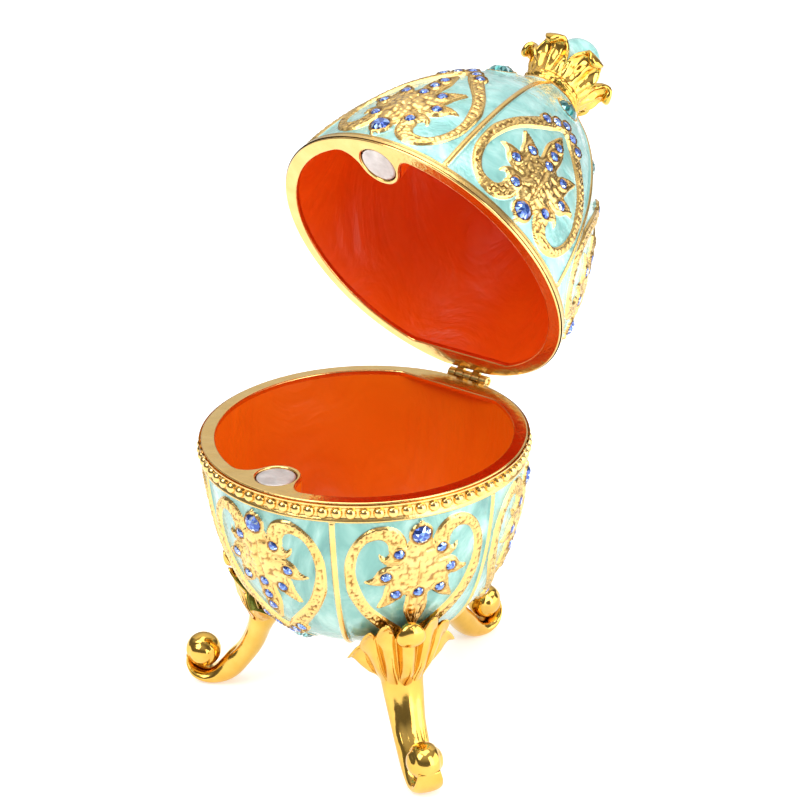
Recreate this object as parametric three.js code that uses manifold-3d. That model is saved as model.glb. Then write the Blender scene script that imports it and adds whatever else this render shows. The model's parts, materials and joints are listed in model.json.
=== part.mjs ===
// Jewelled egg trinket box: an egg-shaped box cast in two gilded and enamelled halves that are
// hinged at the back, on three cabriole legs, with a crown of leaves and an enamel bud on its lid.
// Millimetres, +Z up. The hinge is at the back (+Y), the magnet catch at the front (-Y).
import * as THREE from "three";
import { mergeVertices } from "three/addons/utils/BufferGeometryUtils.js";
import Module from "manifold-3d";

const wasm = await Module();
wasm.setup();

// ---------------------------------------------------------------- driving dimensions
const RIM_RADIUS = 30; // outer edge of the flat rims where the halves meet
const RIM_WIDTH = 2.4;
const RIM_GAP = 0.3; // left between the closed halves
const WALL = 2.2;
const BOWL_DEPTH = 36.7;
const BOWL_FLAT = 9; // radius of the flat patch under the bowl and on its floor
const LID_HEIGHT = 46;
// The lid's outside: heights above its rim, and the radius at each.
const LID_OUTLINE = [
  [0, 30], [8, 28.6], [16, 26.4], [24, 23.3], [32, 18.7], [38, 13.9], [43, 8.6], [46, 5.6],
];

const PANELS = 6; // medallions round each half
const PANEL_TURN = -1.4; // degrees that the ornament is turned from the hinge
const RELIEF = 0.6; // height of the gilded ornament above the enamel
const RELIEF_ROOT = -0.6; // how far the ornament reaches into the wall
const PALM_CROWN = 0.6; // the middle of a palmette stands this much higher than its edge
const RIB_HEIGHT = 0.5;
const RIB_HALF = 0.6;
const BOWL_SHIFT = 2.3; // the bowl's medallions sit this much further from the rim than the lid's
// Half of a medallion's frame, from beside the head stone to the point: distance across the panel,
// distance from the rim and half width.
const SCROLL = [
  [3.1, 7.4, 1.2], [4.6, 4.9, 1.45], [7.2, 3.9, 1.35], [10.3, 5.3, 1.1], [12.1, 10, 1.05],
  [11.6, 15.6, 1.1], [9.4, 20.2, 1.15], [5.4, 24.9, 1.0], [0, 29.7, 0.95],
];
const SCROLL_STEPS = 4;
// Right-hand edge of the palmette, from above its head stone, over three side leaves, to its point.
const PALM_EDGE = [
  [1.6, 3.0], [1.9, 6.2], [7.2, 8.5], [2.9, 10.6], [6.6, 11.5], [9.6, 14.3],
  [4.3, 14.7], [6.9, 20.3], [2.3, 17.7], [1.9, 21.8], [0, 26.9],
];
const PALM_HUB = [0, 13.5];
const HEAD_ALONG = 4.8; // from the rim to the head stone of a lid medallion
const LID_TEAL_ALONG = 37.2;
const BOWL_TEAL_ALONG = 34.2;
const COLUMN_STEP = 20; // degrees between the columns of facets
const HOLLOW_COLUMNS = 20;

const BEAD_RING = 2.0; // depth of the beading below the bowl's rim
const BEAD_RADIUS = 1.1;
const LIP_HEIGHT = 1.9; // plain gold lip round the lid's rim

const OPEN_ANGLE = 62; // the lid stands open at its stop
const HINGE_Y = 31.3;
const HINGE_Z = -0.2;
const HINGE_SHIFT = 0.7; // the hinge sits this far right of the middle
const KNUCKLES = 5;
const KNUCKLE_LENGTH = 1.64;
const KNUCKLE_GAP = 0.25;
const KNUCKLE_RADIUS = 1.1;
const KNUCKLE_BORE = 0.72;
const KNUCKLE_ROOM = 0.35; // round the knuckles, in the rims
const PIN_RADIUS = 0.5;
const TAB_INNER = 27.6; // from the egg's axis to the inner edge of a hinge leaf's tab
const TAB_NEAR = 1.0; // from the rim plane to the tab
const TAB_THICK = 0.8;
const WEB_INNER = KNUCKLE_RADIUS + 0.2; // from the hinge axis to the inner face of a knuckle's web
const HINGE_LENGTH = KNUCKLES * KNUCKLE_LENGTH + (KNUCKLES - 1) * KNUCKLE_GAP;
const PAD_Y = 25.2; // straight inner edge of the thickened rim behind the hinge
const PAD_DEPTH = 3;
const CLEAR = 0.3; // gap between pieces that touch

const MAGNET_RADIUS = 3.55;
const MAGNET_HEIGHT = 2.4;
const MAGNET_Y = -24.4;
const MAGNET_SUNK = 0.15;
const MAGNET_ROOM = 0.2; // round the magnet, in its boss
const BOSS_BORDER = 0.7;
const BOSS_DEPTH = 4;
const ROUND_SIDES = 12; // facets round a magnet, the hinge pin and the crown's cup

const GROUND = -57.5; // the surface that the feet stand on, below the bowl's rim
const LEG_TURN = -4; // degrees that the legs are turned from the hinge
const LEG_AZIMUTHS = { leg_left: 210, leg_right: -30, leg_back: 90 };

// The leg's own plane: distance from the egg's axis and height below its rim. Each station of the
// shank gives its middle, half width, half thickness and the slope of its section in degrees.
const SHANK = [
  [18.4, -33.5, 8.6, 5.4, 8], [19.4, -36.6, 5.6, 4.6, 12], [20.6, -39.8, 4.1, 3.2, 18],
  [22.7, -45.3, 3.6, 2.4, 27], [26.0, -51.1, 3.1, 2.2, 42], [29.0, -54.5, 3.1, 2.5, 62],
  [32.4, -55.8, 3.2, 2.3, 92], [36.4, -54.2, 2.4, 1.2, 138],
];
const SHANK_SIDES = 8;
const SCROLL_BALL = { x: 34.2, z: -51.2, radius: 3.85 };
// Petals at the leg's head: how far the tip leans sideways, its height, its reach and half width.
const PETALS = [
  [0, -27.4, 27.4, 2.8], [5.4, -27.2, 25.8, 2.6], [-5.4, -27.2, 25.8, 2.6],
  [9.6, -34.4, 20.2, 2.3], [-9.6, -34.4, 20.2, 2.3],
];
const PETAL_ROOT = { x: 20.5, z: -38.5 };

const CUP_BASE = LID_HEIGHT + CLEAR;
// The cup under the bud: radius and height above its base.
const CUP_OUTLINE = [[0, 0], [5.3, 0], [6.2, 1], [5.8, 2.2], [6.9, 5.6], [0, 5.6]];
// A crown leaf's sections, from the cup to its curled tip: radius, height above the cup's base,
// half width, half thickness and how far it has turned over in degrees.
const CROWN_LEAF = [
  [5.2, 2.0, 2.8, 0.9, 20], [7.0, 5.2, 3.3, 0.9, 30], [8.2, 7.5, 3.0, 0.8, 60],
  [9.1, 8.1, 2.3, 0.8, 110], [9.6, 7.0, 1.3, 0.6, 160],
];
const BUD_RADIUS = 4.7;
const BUD_COLUMNS = 12;
const BUD_STEP = 30; // degrees between the rings of the bud
const BUD_STRETCH = { below: 1.06, above: 1.04 }; // its height over its width
const BUD_CENTRE = 57.4; // above the lid's rim

const BIG_STONE = 1.85; // radius of the stone at the head of each medallion
const TEAL_STONE = 2.5;
const STONE_SIDES = 6;
const STONE_TABLE = 0.55; // width of a stone's top over its widest
const STONE_CROWN = 0.45; // height of a stone over its radius
const SEAT_HEIGHT = 0.15; // the palmette stands this much above the frame under a head stone

// ---------------------------------------------------------------- colours
const GOLD = { color: 0xe9b949, roughness: 0.18, metalness: 1 };
const ENAMEL_GOLD = { color: 0x9fd8d0, roughness: 0.2, metalness: 0.2 };
const BRIGHT_GOLD = { color: 0xf3dc96, roughness: 0.2, metalness: 1 };
const STEEL = { color: 0xc8beb9, roughness: 0.35, metalness: 1 };
const AQUA = { color: 0x8fdcd2, roughness: 0.15, metalness: 0 };
const BLUE = { color: 0x5b84dc, roughness: 0.05, metalness: 0 };
const TEAL = { color: 0x147f7b, roughness: 0.05, metalness: 0 };

// ---------------------------------------------------------------- small helpers
const rad = THREE.MathUtils.degToRad;

function asSolid(geometry) {
  geometry.deleteAttribute("normal");
  geometry.deleteAttribute("uv");
  const merged = mergeVertices(geometry, 1e-5);
  return new wasm.Manifold(new wasm.Mesh({
    numProp: 3,
    vertProperties: new Float32Array(merged.attributes.position.array),
    triVerts: new Uint32Array(merged.index.array),
  }));
}

function asGeometry(solid) {
  const mesh = solid.getMesh();
  const geometry = new THREE.BufferGeometry();
  geometry.setAttribute("position", new THREE.BufferAttribute(new Float32Array(mesh.vertProperties), 3));
  geometry.setIndex(new THREE.BufferAttribute(new Uint32Array(mesh.triVerts), 1));
  geometry.computeVertexNormals();
  return geometry;
}

function joined(solids) {
  return solids.reduce((whole, piece) => whole.add(piece));
}

function asMesh(name, solid, look) {
  const mesh = new THREE.Mesh(asGeometry(solid), new THREE.MeshStandardMaterial(look));
  mesh.name = name;
  return mesh;
}

// A closed skin over rings of points, each ring with the same number of points, and drawn in to a
// tip at both ends. The rings may run either way: the faces are turned to point out.
function loft(rings, tips = [middleOf(rings[0]), middleOf(rings.at(-1))]) {
  const whole = skinOver(rings, tips);
  return whole.volume() > 0 ? whole : skinOver(rings.toReversed(), tips.toReversed());
}

function middleOf(ring) {
  return ring.reduce((sum, point) => sum.add(point), new THREE.Vector3()).divideScalar(ring.length);
}

function skinOver(rings, [first, last]) {
  const sides = rings[0].length;
  const corners = [...rings.flat(), first, last];
  const end = rings.length * sides;
  const faces = [];
  for (let j = 0; j < sides; j += 1) {
    const next = (j + 1) % sides;
    for (let i = 0; i + sides < end; i += sides) {
      faces.push(i + j, i + next, i + sides + next, i + j, i + sides + next, i + sides + j);
    }
    faces.push(end, next, j);
    faces.push(end + 1, end - sides + j, end - sides + next);
  }
  const geometry = new THREE.BufferGeometry();
  const numbers = corners.flatMap((corner) => corner.toArray());
  geometry.setAttribute("position", new THREE.Float32BufferAttribute(numbers, 3));
  geometry.setIndex(faces);
  return asSolid(geometry);
}

function turned(outline, segments) {
  const points = outline.map(([r, z]) => new THREE.Vector2(r, z));
  return asSolid(new THREE.LatheGeometry(points, segments).rotateX(Math.PI / 2));
}

// A box between two opposite corners, given in either order.
function boxOver(one, other) {
  const size = one.map((value, i) => Math.abs(value - other[i]));
  const middle = one.map((value, i) => (value + other[i]) / 2);
  return asSolid(new THREE.BoxGeometry(...size).translate(...middle));
}

// Round bars about the middle of the row: a rod along X, and a drum standing along Z.
function rod(radius, length) {
  return new THREE.CylinderGeometry(radius, radius, length, ROUND_SIDES).rotateZ(Math.PI / 2);
}

function drum(radius, length) {
  return new THREE.CylinderGeometry(radius, radius, length, ROUND_SIDES).rotateX(Math.PI / 2);
}

const panelAzimuths = Array.from({ length: PANELS }, (_, k) => rad(PANEL_TURN - 90 + (360 / PANELS) * k));

// ---------------------------------------------------------------- the two halves
function bowlRadius(depth) {
  const t = THREE.MathUtils.clamp(depth / BOWL_DEPTH, 0, 0.9999);
  return RIM_RADIUS * (1 - t ** 1.68) ** (1 / 4.5);
}

// Smooth curve through the lid's outline.
function lidRadius(height) {
  const h = THREE.MathUtils.clamp(height, 0, LID_HEIGHT);
  const k = Math.min(LID_OUTLINE.findLastIndex(([z]) => z <= h), LID_OUTLINE.length - 2);
  const slope = (i) => {
    const [z0, r0] = LID_OUTLINE[Math.max(i - 1, 0)];
    const [z1, r1] = LID_OUTLINE[Math.min(i + 1, LID_OUTLINE.length - 1)];
    return (r1 - r0) / (z1 - z0);
  };
  const [z0, r0] = LID_OUTLINE[k];
  const [z1, r1] = LID_OUTLINE[k + 1];
  const span = z1 - z0;
  const t = (h - z0) / span;
  const start = r0 * (1 + 2 * t) * (1 - t) ** 2 + span * slope(k) * t * (1 - t) ** 2;
  const end = r1 * t * t * (3 - 2 * t) + span * slope(k + 1) * t * t * (t - 1);
  return start + end;
}

// side: +1 grows up from the rim, -1 hangs down from it.
const BOWL = { side: -1, radius: bowlRadius, shift: BOWL_SHIFT };
const LID = { side: 1, radius: lidRadius, shift: 0 };

// A point on a half's face: across runs round it and along runs from its rim, both in mm.
function onFace(half, azimuth, across, along, lift) {
  const step = 0.2;
  const slope = (half.radius(along + step) - half.radius(along - step)) / (2 * step);
  const stretch = Math.hypot(1, slope);
  const flat = half.radius(along);
  const angle = azimuth + across / flat;
  const r = flat + lift / stretch;
  const z = half.side * (along - lift * slope / stretch);
  return new THREE.Vector3(r * Math.cos(angle), r * Math.sin(angle), z);
}

// A smooth run through a few [across, along, half width] stations.
function smooth(stations, count) {
  const points = stations.map((station) => new THREE.Vector3(...station));
  return new THREE.CatmullRomCurve3(points, false, "centripetal").getPoints(count);
}

// A raised strip that lies on a half's face, along stations of (across, along, half width).
function strip(half, azimuth, stations, height) {
  const rings = stations.map((here, i) => {
    const before = stations[Math.max(i - 1, 0)];
    const after = stations[Math.min(i + 1, stations.length - 1)];
    const run = new THREE.Vector2(after.x - before.x, after.y - before.y).normalize();
    const at = (side, lift) => {
      const across = here.x - side * run.y * here.z;
      const along = here.y + side * run.x * here.z;
      return onFace(half, azimuth, across, along + half.shift, lift);
    };
    return [at(1, RELIEF_ROOT), at(1, height), at(-1, height), at(-1, RELIEF_ROOT)];
  });
  return loft(rings);
}

const mirrored = (points) => points.map(([u, ...rest]) => [-u, ...rest]);

function frameOfMedallion(half, azimuth) {
  const right = smooth(SCROLL, SCROLL_STEPS);
  const left = smooth(mirrored(SCROLL), SCROLL_STEPS).reverse().slice(1);
  return strip(half, azimuth, [...right, ...left], RELIEF);
}

// A lobed plate with the palmette's outline, its middle standing higher than its edge.
function palmette(half, azimuth) {
  const outline = [...PALM_EDGE, ...mirrored(PALM_EDGE.slice(0, -1)).reverse()];
  const place = ([across, along], lift) => onFace(half, azimuth, across, along + half.shift, lift);
  const rings = [RELIEF_ROOT, RELIEF].map((lift) => outline.map((corner) => place(corner, lift)));
  return loft(rings, [place(PALM_HUB, RELIEF_ROOT), place(PALM_HUB, RELIEF + PALM_CROWN)]);
}

// A ring in the plane that touches a half's face at one point, lifted off it.
function flatRing(half, azimuth, along, radius, lift) {
  const middle = onFace(half, azimuth, 0, along, 0);
  const out = onFace(half, azimuth, 0, along, 1).sub(middle);
  const across = new THREE.Vector3(-Math.sin(azimuth), Math.cos(azimuth), 0);
  const down = out.clone().cross(across);
  return Array.from({ length: STONE_SIDES }, (_, k) => {
    const turn = (2 * Math.PI * (k + 0.5)) / STONE_SIDES;
    const point = middle.clone().addScaledVector(out, lift);
    point.addScaledVector(across, radius * Math.cos(turn));
    return point.addScaledVector(down, radius * Math.sin(turn));
  });
}

function ornament(half) {
  return panelAzimuths.flatMap((azimuth) => [
    frameOfMedallion(half, azimuth),
    palmette(half, azimuth),
  ]);
}

// Columns of facets for one ring, with the gilded ribs between the panels raised.
function ribbedRing(radius, z, lift) {
  const ring = [];
  const sector = 360 / PANELS;
  for (const azimuth of panelAzimuths) {
    const rib = azimuth + rad(sector / 2);
    const half = RIB_HALF / radius;
    const spread = [rib - half, rib, rib + half];
    for (let k = 1; k < sector / COLUMN_STEP; k += 1) spread.push(rib + rad(k * COLUMN_STEP));
    spread.forEach((angle, k) => {
      const r = radius + (k === 1 ? lift : 0);
      ring.push(new THREE.Vector3(r * Math.cos(angle), r * Math.sin(angle), z));
    });
  }
  return ring;
}

// The outside of a half as rings: trim is the moulding at the rim, as [radius, distance from the rim].
function outside(half, trim, distances) {
  const rings = trim.map(([r, along]) => ribbedRing(r, half.side * along, 0));
  for (const along of distances) rings.push(ribbedRing(half.radius(along), half.side * along, RIB_HEIGHT));
  return loft(rings);
}

function bowlOutside() {
  const trim = [[RIM_RADIUS, 0], [RIM_RADIUS + 0.2, 0.9]];
  for (const turn of [-30, 30]) {
    const bulge = BEAD_RADIUS * Math.cos(rad(turn));
    trim.push([RIM_RADIUS - 0.2 + bulge, BEAD_RING + BEAD_RADIUS * Math.sin(rad(turn))]);
  }
  trim.push([RIM_RADIUS + 0.3, 3.2]);
  return outside(BOWL, trim, [3.9, 13, 21, 27.5, 32.5, 35.6, BOWL_DEPTH]);
}

function lidOutside() {
  const trim = [[RIM_RADIUS, 0], [RIM_RADIUS + 0.3, 0.5], [RIM_RADIUS + 0.3, 1.4]];
  return outside(LID, trim, [LIP_HEIGHT, 11, 19.5, 27.5, 35, 41.5, LID_HEIGHT]);
}

// The hollow: an open run from just past the rim plane to the floor, walls of even thickness.
function bowlHollow() {
  const mouth = RIM_RADIUS - RIM_WIDTH;
  const floor = -(BOWL_DEPTH - WALL);
  const wall = [6, 17, 26, 31.5].map((depth) => [bowlRadius(depth + 1.2) - WALL - 0.2, -depth]);
  const rise = [[0, floor], [BOWL_FLAT, floor], [15.5, floor + 0.6], ...wall.reverse()];
  return turned([...rise, [mouth, -1.5], [mouth, 1], [0, 1]], HOLLOW_COLUMNS);
}

function lidHollow() {
  const mouth = RIM_RADIUS - RIM_WIDTH;
  const wall = [7, 16, 24, 31, 37].map((height) => [lidRadius(height) - WALL - 0.012 * height, height]);
  return turned([[0, -1], [mouth, -1], [mouth, 1.5], ...wall, [6.4, 40.8], [0, 41.8]], HOLLOW_COLUMNS);
}

// ---------------------------------------------------------------- catch, hinge seats
// The rounded tab that carries a magnet, seen from above; it runs back into the wall.
function bossOutline() {
  const radius = MAGNET_RADIUS + 0.2 + BOSS_BORDER;
  const outline = new THREE.Shape();
  outline.moveTo(-9, -27.4);
  outline.quadraticCurveTo(-radius - 1.2, -26.6, -radius, MAGNET_Y);
  outline.absarc(0, MAGNET_Y, radius, Math.PI, 0, true);
  outline.quadraticCurveTo(radius + 0.4, -26.6, 7.6, -27.6);
  outline.lineTo(0, -29);
  return outline;
}

// The chord of thicker rim that the hinge is let into.
function padOutline() {
  const reach = Math.sqrt((RIM_RADIUS - 1) ** 2 - PAD_Y ** 2);
  const outline = new THREE.Shape();
  outline.moveTo(-reach, PAD_Y);
  outline.lineTo(reach, PAD_Y);
  outline.absarc(0, 0, RIM_RADIUS - 1, Math.atan2(PAD_Y, reach), Math.atan2(PAD_Y, -reach), false);
  return outline;
}

// A plate of a half: its face lies in the rim plane and it is depth thick.
function plate(half, outline, depth, curveSegments) {
  const geometry = new THREE.ExtrudeGeometry(outline, { depth, bevelEnabled: false, curveSegments });
  return asSolid(geometry.translate(0, 0, half.side > 0 ? 0 : -depth));
}

function magnetRecess(half) {
  const depth = MAGNET_SUNK + MAGNET_HEIGHT + CLEAR;
  const recess = asSolid(drum(MAGNET_RADIUS + MAGNET_ROOM, depth + 1));
  return recess.translate([0, MAGNET_Y, half.side * (depth - 1) / 2]);
}

const tabSpan = (half) => [half.side * TAB_NEAR, half.side * (TAB_NEAR + TAB_THICK)];

// Room for the knuckles, a notch in the rim's outer edge for the webs, and a slot behind the rim
// for the leaf's tab. hingeZ is the axis in this half's frame.
function hingeRoom(half, hingeZ) {
  const reach = HINGE_LENGTH / 2 + CLEAR;
  const groove = asSolid(rod(KNUCKLE_RADIUS + KNUCKLE_ROOM, 2 * reach)).translate([0, HINGE_Y, hingeZ]);
  const [near, far] = tabSpan(half);
  const slotEnd = far + half.side * CLEAR;
  const corner = [reach, HINGE_Y + 2, slotEnd];
  const slot = boxOver([-reach, TAB_INNER - CLEAR, near - half.side * CLEAR], corner);
  const notch = boxOver([-reach, HINGE_Y - WEB_INNER - CLEAR, -half.side], corner);
  return joined([groove, slot, notch]).translate([HINGE_SHIFT, 0, 0]);
}

function shell(half, skin, hollow, hingeZ) {
  const body = skin.subtract(hollow);
  const boss = plate(half, bossOutline(), BOSS_DEPTH, 6);
  const pad = plate(half, padOutline(), PAD_DEPTH, 4);
  const whole = joined([body, boss, pad, ...ornament(half)]);
  return whole.subtract(magnetRecess(half)).subtract(hingeRoom(half, hingeZ));
}

function magnet(name, half) {
  const disc = asSolid(drum(MAGNET_RADIUS, MAGNET_HEIGHT));
  const z = half.side * (MAGNET_SUNK + MAGNET_HEIGHT / 2);
  return asMesh(name, disc.translate([0, MAGNET_Y, z]), STEEL);
}

// ---------------------------------------------------------------- hinge
function knuckle(index) {
  const ring = new THREE.Shape();
  ring.absarc(0, 0, KNUCKLE_RADIUS, 0, 2 * Math.PI, false);
  const bore = new THREE.Path();
  bore.absarc(0, 0, KNUCKLE_BORE, 0, 2 * Math.PI, true);
  ring.holes.push(bore);
  const options = { depth: KNUCKLE_LENGTH, bevelEnabled: false, curveSegments: 4 };
  const tube = new THREE.ExtrudeGeometry(ring, options);
  const start = -HINGE_LENGTH / 2 + index * (KNUCKLE_LENGTH + KNUCKLE_GAP);
  return asSolid(tube.rotateY(Math.PI / 2).translate(start, 0, 0));
}

// One leaf, on the hinge's own axis: every other knuckle, each on a web from a tab that reaches in
// behind the rim.
function hingeLeaf(half, hingeZ, firstKnuckle) {
  const [near, far] = tabSpan(half).map((z) => z - hingeZ);
  const inner = TAB_INNER - HINGE_Y;
  const pieces = [boxOver([-HINGE_LENGTH / 2, inner, near], [HINGE_LENGTH / 2, -KNUCKLE_RADIUS, far])];
  for (let index = firstKnuckle; index < KNUCKLES; index += 2) {
    const start = -HINGE_LENGTH / 2 + index * (KNUCKLE_LENGTH + KNUCKLE_GAP);
    const web = boxOver([start, -WEB_INNER, 0], [start + KNUCKLE_LENGTH, -KNUCKLE_BORE - 0.1, far]);
    pieces.push(knuckle(index), web);
  }
  return joined(pieces);
}

// ---------------------------------------------------------------- legs
// A tapering limb in a leg's own plane: x points outwards, z up.
function limb(stations) {
  return loft(stations.map(([x, z, across, thick, slope]) => {
    const tilt = new THREE.Vector3(Math.cos(rad(slope)), 0, Math.sin(rad(slope)));
    return Array.from({ length: SHANK_SIDES }, (_, k) => {
      const turn = (2 * Math.PI * k) / SHANK_SIDES;
      const middle = new THREE.Vector3(x, across * Math.sin(turn), z);
      return middle.addScaledVector(tilt, thick * Math.cos(turn));
    });
  }));
}

// A leaf's section: flat behind, with a midrib in front.
function leafSection(middle, side, half, front, thick) {
  const corners = [[-1, 0.1], [0, 1], [1, 0.1], [0.6, -0.7], [-0.6, -0.7]];
  return corners.map(([across, forward]) => {
    const point = middle.clone().addScaledVector(side, across * half);
    return point.addScaledVector(front, forward * thick);
  });
}

// A petal of the leg's head: rises from the shank, leans out and curls over at its tip.
function petal(spread, height, reach, width) {
  const root = new THREE.Vector3(PETAL_ROOT.x, spread * 0.35, PETAL_ROOT.z);
  const tip = new THREE.Vector3(reach, spread, height);
  const turn = Math.atan2(spread, 22);
  const side = new THREE.Vector3(-Math.sin(turn), Math.cos(turn), 0);
  const out = new THREE.Vector3(Math.cos(turn), Math.sin(turn), 0);
  const stations = [[0, 0.8, 1.6], [0.6, 1, 1.4], [1, 0.6, 0.7]];
  return loft(stations.map(([along, half, thick]) => {
    const middle = root.clone().lerp(tip, along).addScaledVector(out, 1.6 * Math.sin(Math.PI * along));
    return leafSection(middle, side, half * width, out, thick);
  }));
}

// Everything inside the bowl, and as much room round it as its ornament needs above the leg's head.
function bowlRoom() {
  const columns = 24;
  const bulge = 1 / Math.cos(Math.PI / columns); // its flats, not its corners, keep the distance
  const edge = [20, 27, 30.4, 32.5, 35.6].map((depth) => {
    const room = depth < 31 ? RELIEF + PALM_CROWN : CLEAR + 0.1;
    return [(bowlRadius(depth) + room) * bulge, -depth];
  });
  const under = -(BOWL_DEPTH + CLEAR);
  return turned([[0, under], [BOWL_FLAT + 4, under], ...edge.reverse(), [0, -20]], columns);
}

function leg() {
  const ball = new THREE.SphereGeometry(SCROLL_BALL.radius, 8, 6).rotateX(Math.PI / 2);
  const pieces = [limb(SHANK), asSolid(ball.translate(SCROLL_BALL.x, 0, SCROLL_BALL.z))];
  for (const shape of PETALS) pieces.push(petal(...shape));
  const ground = boxOver([0, -15, GROUND - 10], [60, 15, GROUND]);
  return joined(pieces).subtract(ground);
}

// ---------------------------------------------------------------- crown and bud
function crownLeaf(turn) {
  const out = new THREE.Vector3(Math.cos(turn), Math.sin(turn), 0);
  const side = new THREE.Vector3(-Math.sin(turn), Math.cos(turn), 0);
  return loft(CROWN_LEAF.map(([r, z, half, thick, lean]) => {
    const middle = out.clone().multiplyScalar(r).setZ(CUP_BASE + z);
    const front = out.clone().multiplyScalar(Math.cos(rad(lean))).setZ(-Math.sin(rad(lean)));
    return leafSection(middle, side, half, front, thick);
  }));
}

function crown() {
  const cup = turned(CUP_OUTLINE.map(([r, z]) => [r, CUP_BASE + z]), ROUND_SIDES);
  const leaves = panelAzimuths.map((azimuth) => crownLeaf(azimuth));
  return joined([cup, ...leaves]).subtract(turned(budOutline(CLEAR), BUD_COLUMNS));
}

// The bud is a ball, a little flat on top; grow makes the room that it sits in.
function budOutline(grow) {
  const outline = [];
  const size = BUD_RADIUS + grow;
  for (let turn = BUD_STEP - 90; turn < 90; turn += BUD_STEP) {
    const stretch = turn > 0 ? BUD_STRETCH.above : BUD_STRETCH.below;
    outline.push([size * Math.cos(rad(turn)), BUD_CENTRE + stretch * size * Math.sin(rad(turn))]);
  }
  const bottom = [0, BUD_CENTRE - BUD_STRETCH.below * size];
  const top = [0, BUD_CENTRE + BUD_STRETCH.above * size];
  return [bottom, ...outline, top];
}

// ---------------------------------------------------------------- stones
// A stone with one row of facets round a flat top, standing on a half's face.
function stone(half, azimuth, along, radius, seatTop) {
  const foot = seatTop + CLEAR;
  const girdle = flatRing(half, azimuth, along, radius, foot);
  const table = flatRing(half, azimuth, along, radius * STONE_TABLE, foot + radius * STONE_CROWN);
  return loft([girdle, table]);
}

function headStones(half, name) {
  const stones = new THREE.Group();
  panelAzimuths.forEach((azimuth, k) => {
    const head = stone(half, azimuth, HEAD_ALONG + half.shift, BIG_STONE, RELIEF + SEAT_HEIGHT);
    stones.add(asMesh(`${name}_head_stone_${k + 1}`, head, BLUE));
  });
  return stones;
}

function tealStones(half, name, along, azimuths) {
  const stones = new THREE.Group();
  azimuths.forEach((azimuth, k) => {
    stones.add(asMesh(`${name}_teal_stone_${k + 1}`, stone(half, azimuth, along, TEAL_STONE, 0), TEAL));
  });
  return stones;
}

// ---------------------------------------------------------------- putting it together
const atHinge = (x, y, z) => new THREE.Vector3(x, y - HINGE_Y, z - HINGE_Z);

function bowlGroup() {
  const group = new THREE.Group();
  group.add(asMesh("bowl_shell", shell(BOWL, bowlOutside(), bowlHollow(), HINGE_Z), ENAMEL_GOLD));
  group.add(magnet("bowl_magnet", BOWL));
  const leaf = asMesh("bowl_hinge_leaf", hingeLeaf(BOWL, HINGE_Z, 0), BRIGHT_GOLD);
  leaf.position.set(HINGE_SHIFT, HINGE_Y, HINGE_Z);
  const pin = asMesh("hinge_pin", asSolid(rod(PIN_RADIUS, HINGE_LENGTH)), BRIGHT_GOLD);
  pin.position.copy(leaf.position);
  group.add(leaf, pin, headStones(BOWL, "bowl"));
  const free = panelAzimuths.filter((_, k) => k % 2 === 0);
  group.add(tealStones(BOWL, "bowl", BOWL_TEAL_ALONG, free));
  return group;
}

function lidGroup() {
  const onAxis = new THREE.Group();
  onAxis.position.set(0, HINGE_Y, HINGE_Z);
  onAxis.rotation.x = -rad(OPEN_ANGLE);
  const closed = new THREE.Group();
  closed.position.copy(atHinge(0, 0, RIM_GAP));
  closed.add(asMesh("lid_shell", shell(LID, lidOutside(), lidHollow(), HINGE_Z - RIM_GAP), ENAMEL_GOLD));
  closed.add(magnet("lid_magnet", LID));
  const leaf = asMesh("lid_hinge_leaf", hingeLeaf(LID, HINGE_Z - RIM_GAP, 1), BRIGHT_GOLD);
  leaf.position.set(HINGE_SHIFT, HINGE_Y, HINGE_Z - RIM_GAP);
  const bud = asMesh("bud", turned(budOutline(0), BUD_COLUMNS), AQUA);
  closed.add(leaf, asMesh("crown", crown(), GOLD), bud, headStones(LID, "lid"));
  closed.add(tealStones(LID, "lid", LID_TEAL_ALONG, panelAzimuths));
  onAxis.add(closed);
  return onAxis;
}

function legGroup() {
  const group = new THREE.Group();
  const shape = leg();
  const room = bowlRoom();
  for (const [name, azimuth] of Object.entries(LEG_AZIMUTHS)) {
    const mesh = asMesh(name, shape.subtract(room), GOLD);
    mesh.rotation.z = rad(azimuth + LEG_TURN);
    group.add(mesh);
  }
  return group;
}

const egg = new THREE.Group();
egg.add(bowlGroup(), lidGroup(), legGroup());

// The origin is under the middle of the whole box's extent, on the surface that it stands on.
const extent = new THREE.Box3().setFromObject(egg, true);
const centre = extent.getCenter(new THREE.Vector3());
egg.position.set(-centre.x, -centre.y, -extent.min.z);

export default egg;
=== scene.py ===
# The looks of the jewelled egg trinket box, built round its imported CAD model.
# Everything is laid out in millimetres about the middle of the bowl's rim plane, with the catch at
# -Y and the hinge at +Y, and then put where the CAD model has it.
import json
import math

import bpy
import numpy as np
from mathutils import Matrix, Vector


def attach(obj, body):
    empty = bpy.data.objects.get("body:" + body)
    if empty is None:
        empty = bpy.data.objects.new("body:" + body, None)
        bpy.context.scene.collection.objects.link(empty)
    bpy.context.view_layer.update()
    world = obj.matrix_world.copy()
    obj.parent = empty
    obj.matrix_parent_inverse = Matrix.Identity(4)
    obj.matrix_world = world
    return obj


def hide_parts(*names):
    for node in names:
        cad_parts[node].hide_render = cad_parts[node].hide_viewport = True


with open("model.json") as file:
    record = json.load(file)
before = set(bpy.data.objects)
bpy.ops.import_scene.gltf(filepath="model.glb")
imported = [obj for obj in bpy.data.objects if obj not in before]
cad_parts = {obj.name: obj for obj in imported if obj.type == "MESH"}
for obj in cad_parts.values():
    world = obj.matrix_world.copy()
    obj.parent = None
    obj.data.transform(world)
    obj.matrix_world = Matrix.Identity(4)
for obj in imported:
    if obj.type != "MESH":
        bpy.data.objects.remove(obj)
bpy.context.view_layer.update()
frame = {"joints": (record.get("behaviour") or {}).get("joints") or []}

# ---------------------------------------------------------------- dimensions shared with the CAD
MM = 0.001
RIM_RADIUS = 30.0
RIM_INNER = 27.6
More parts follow.
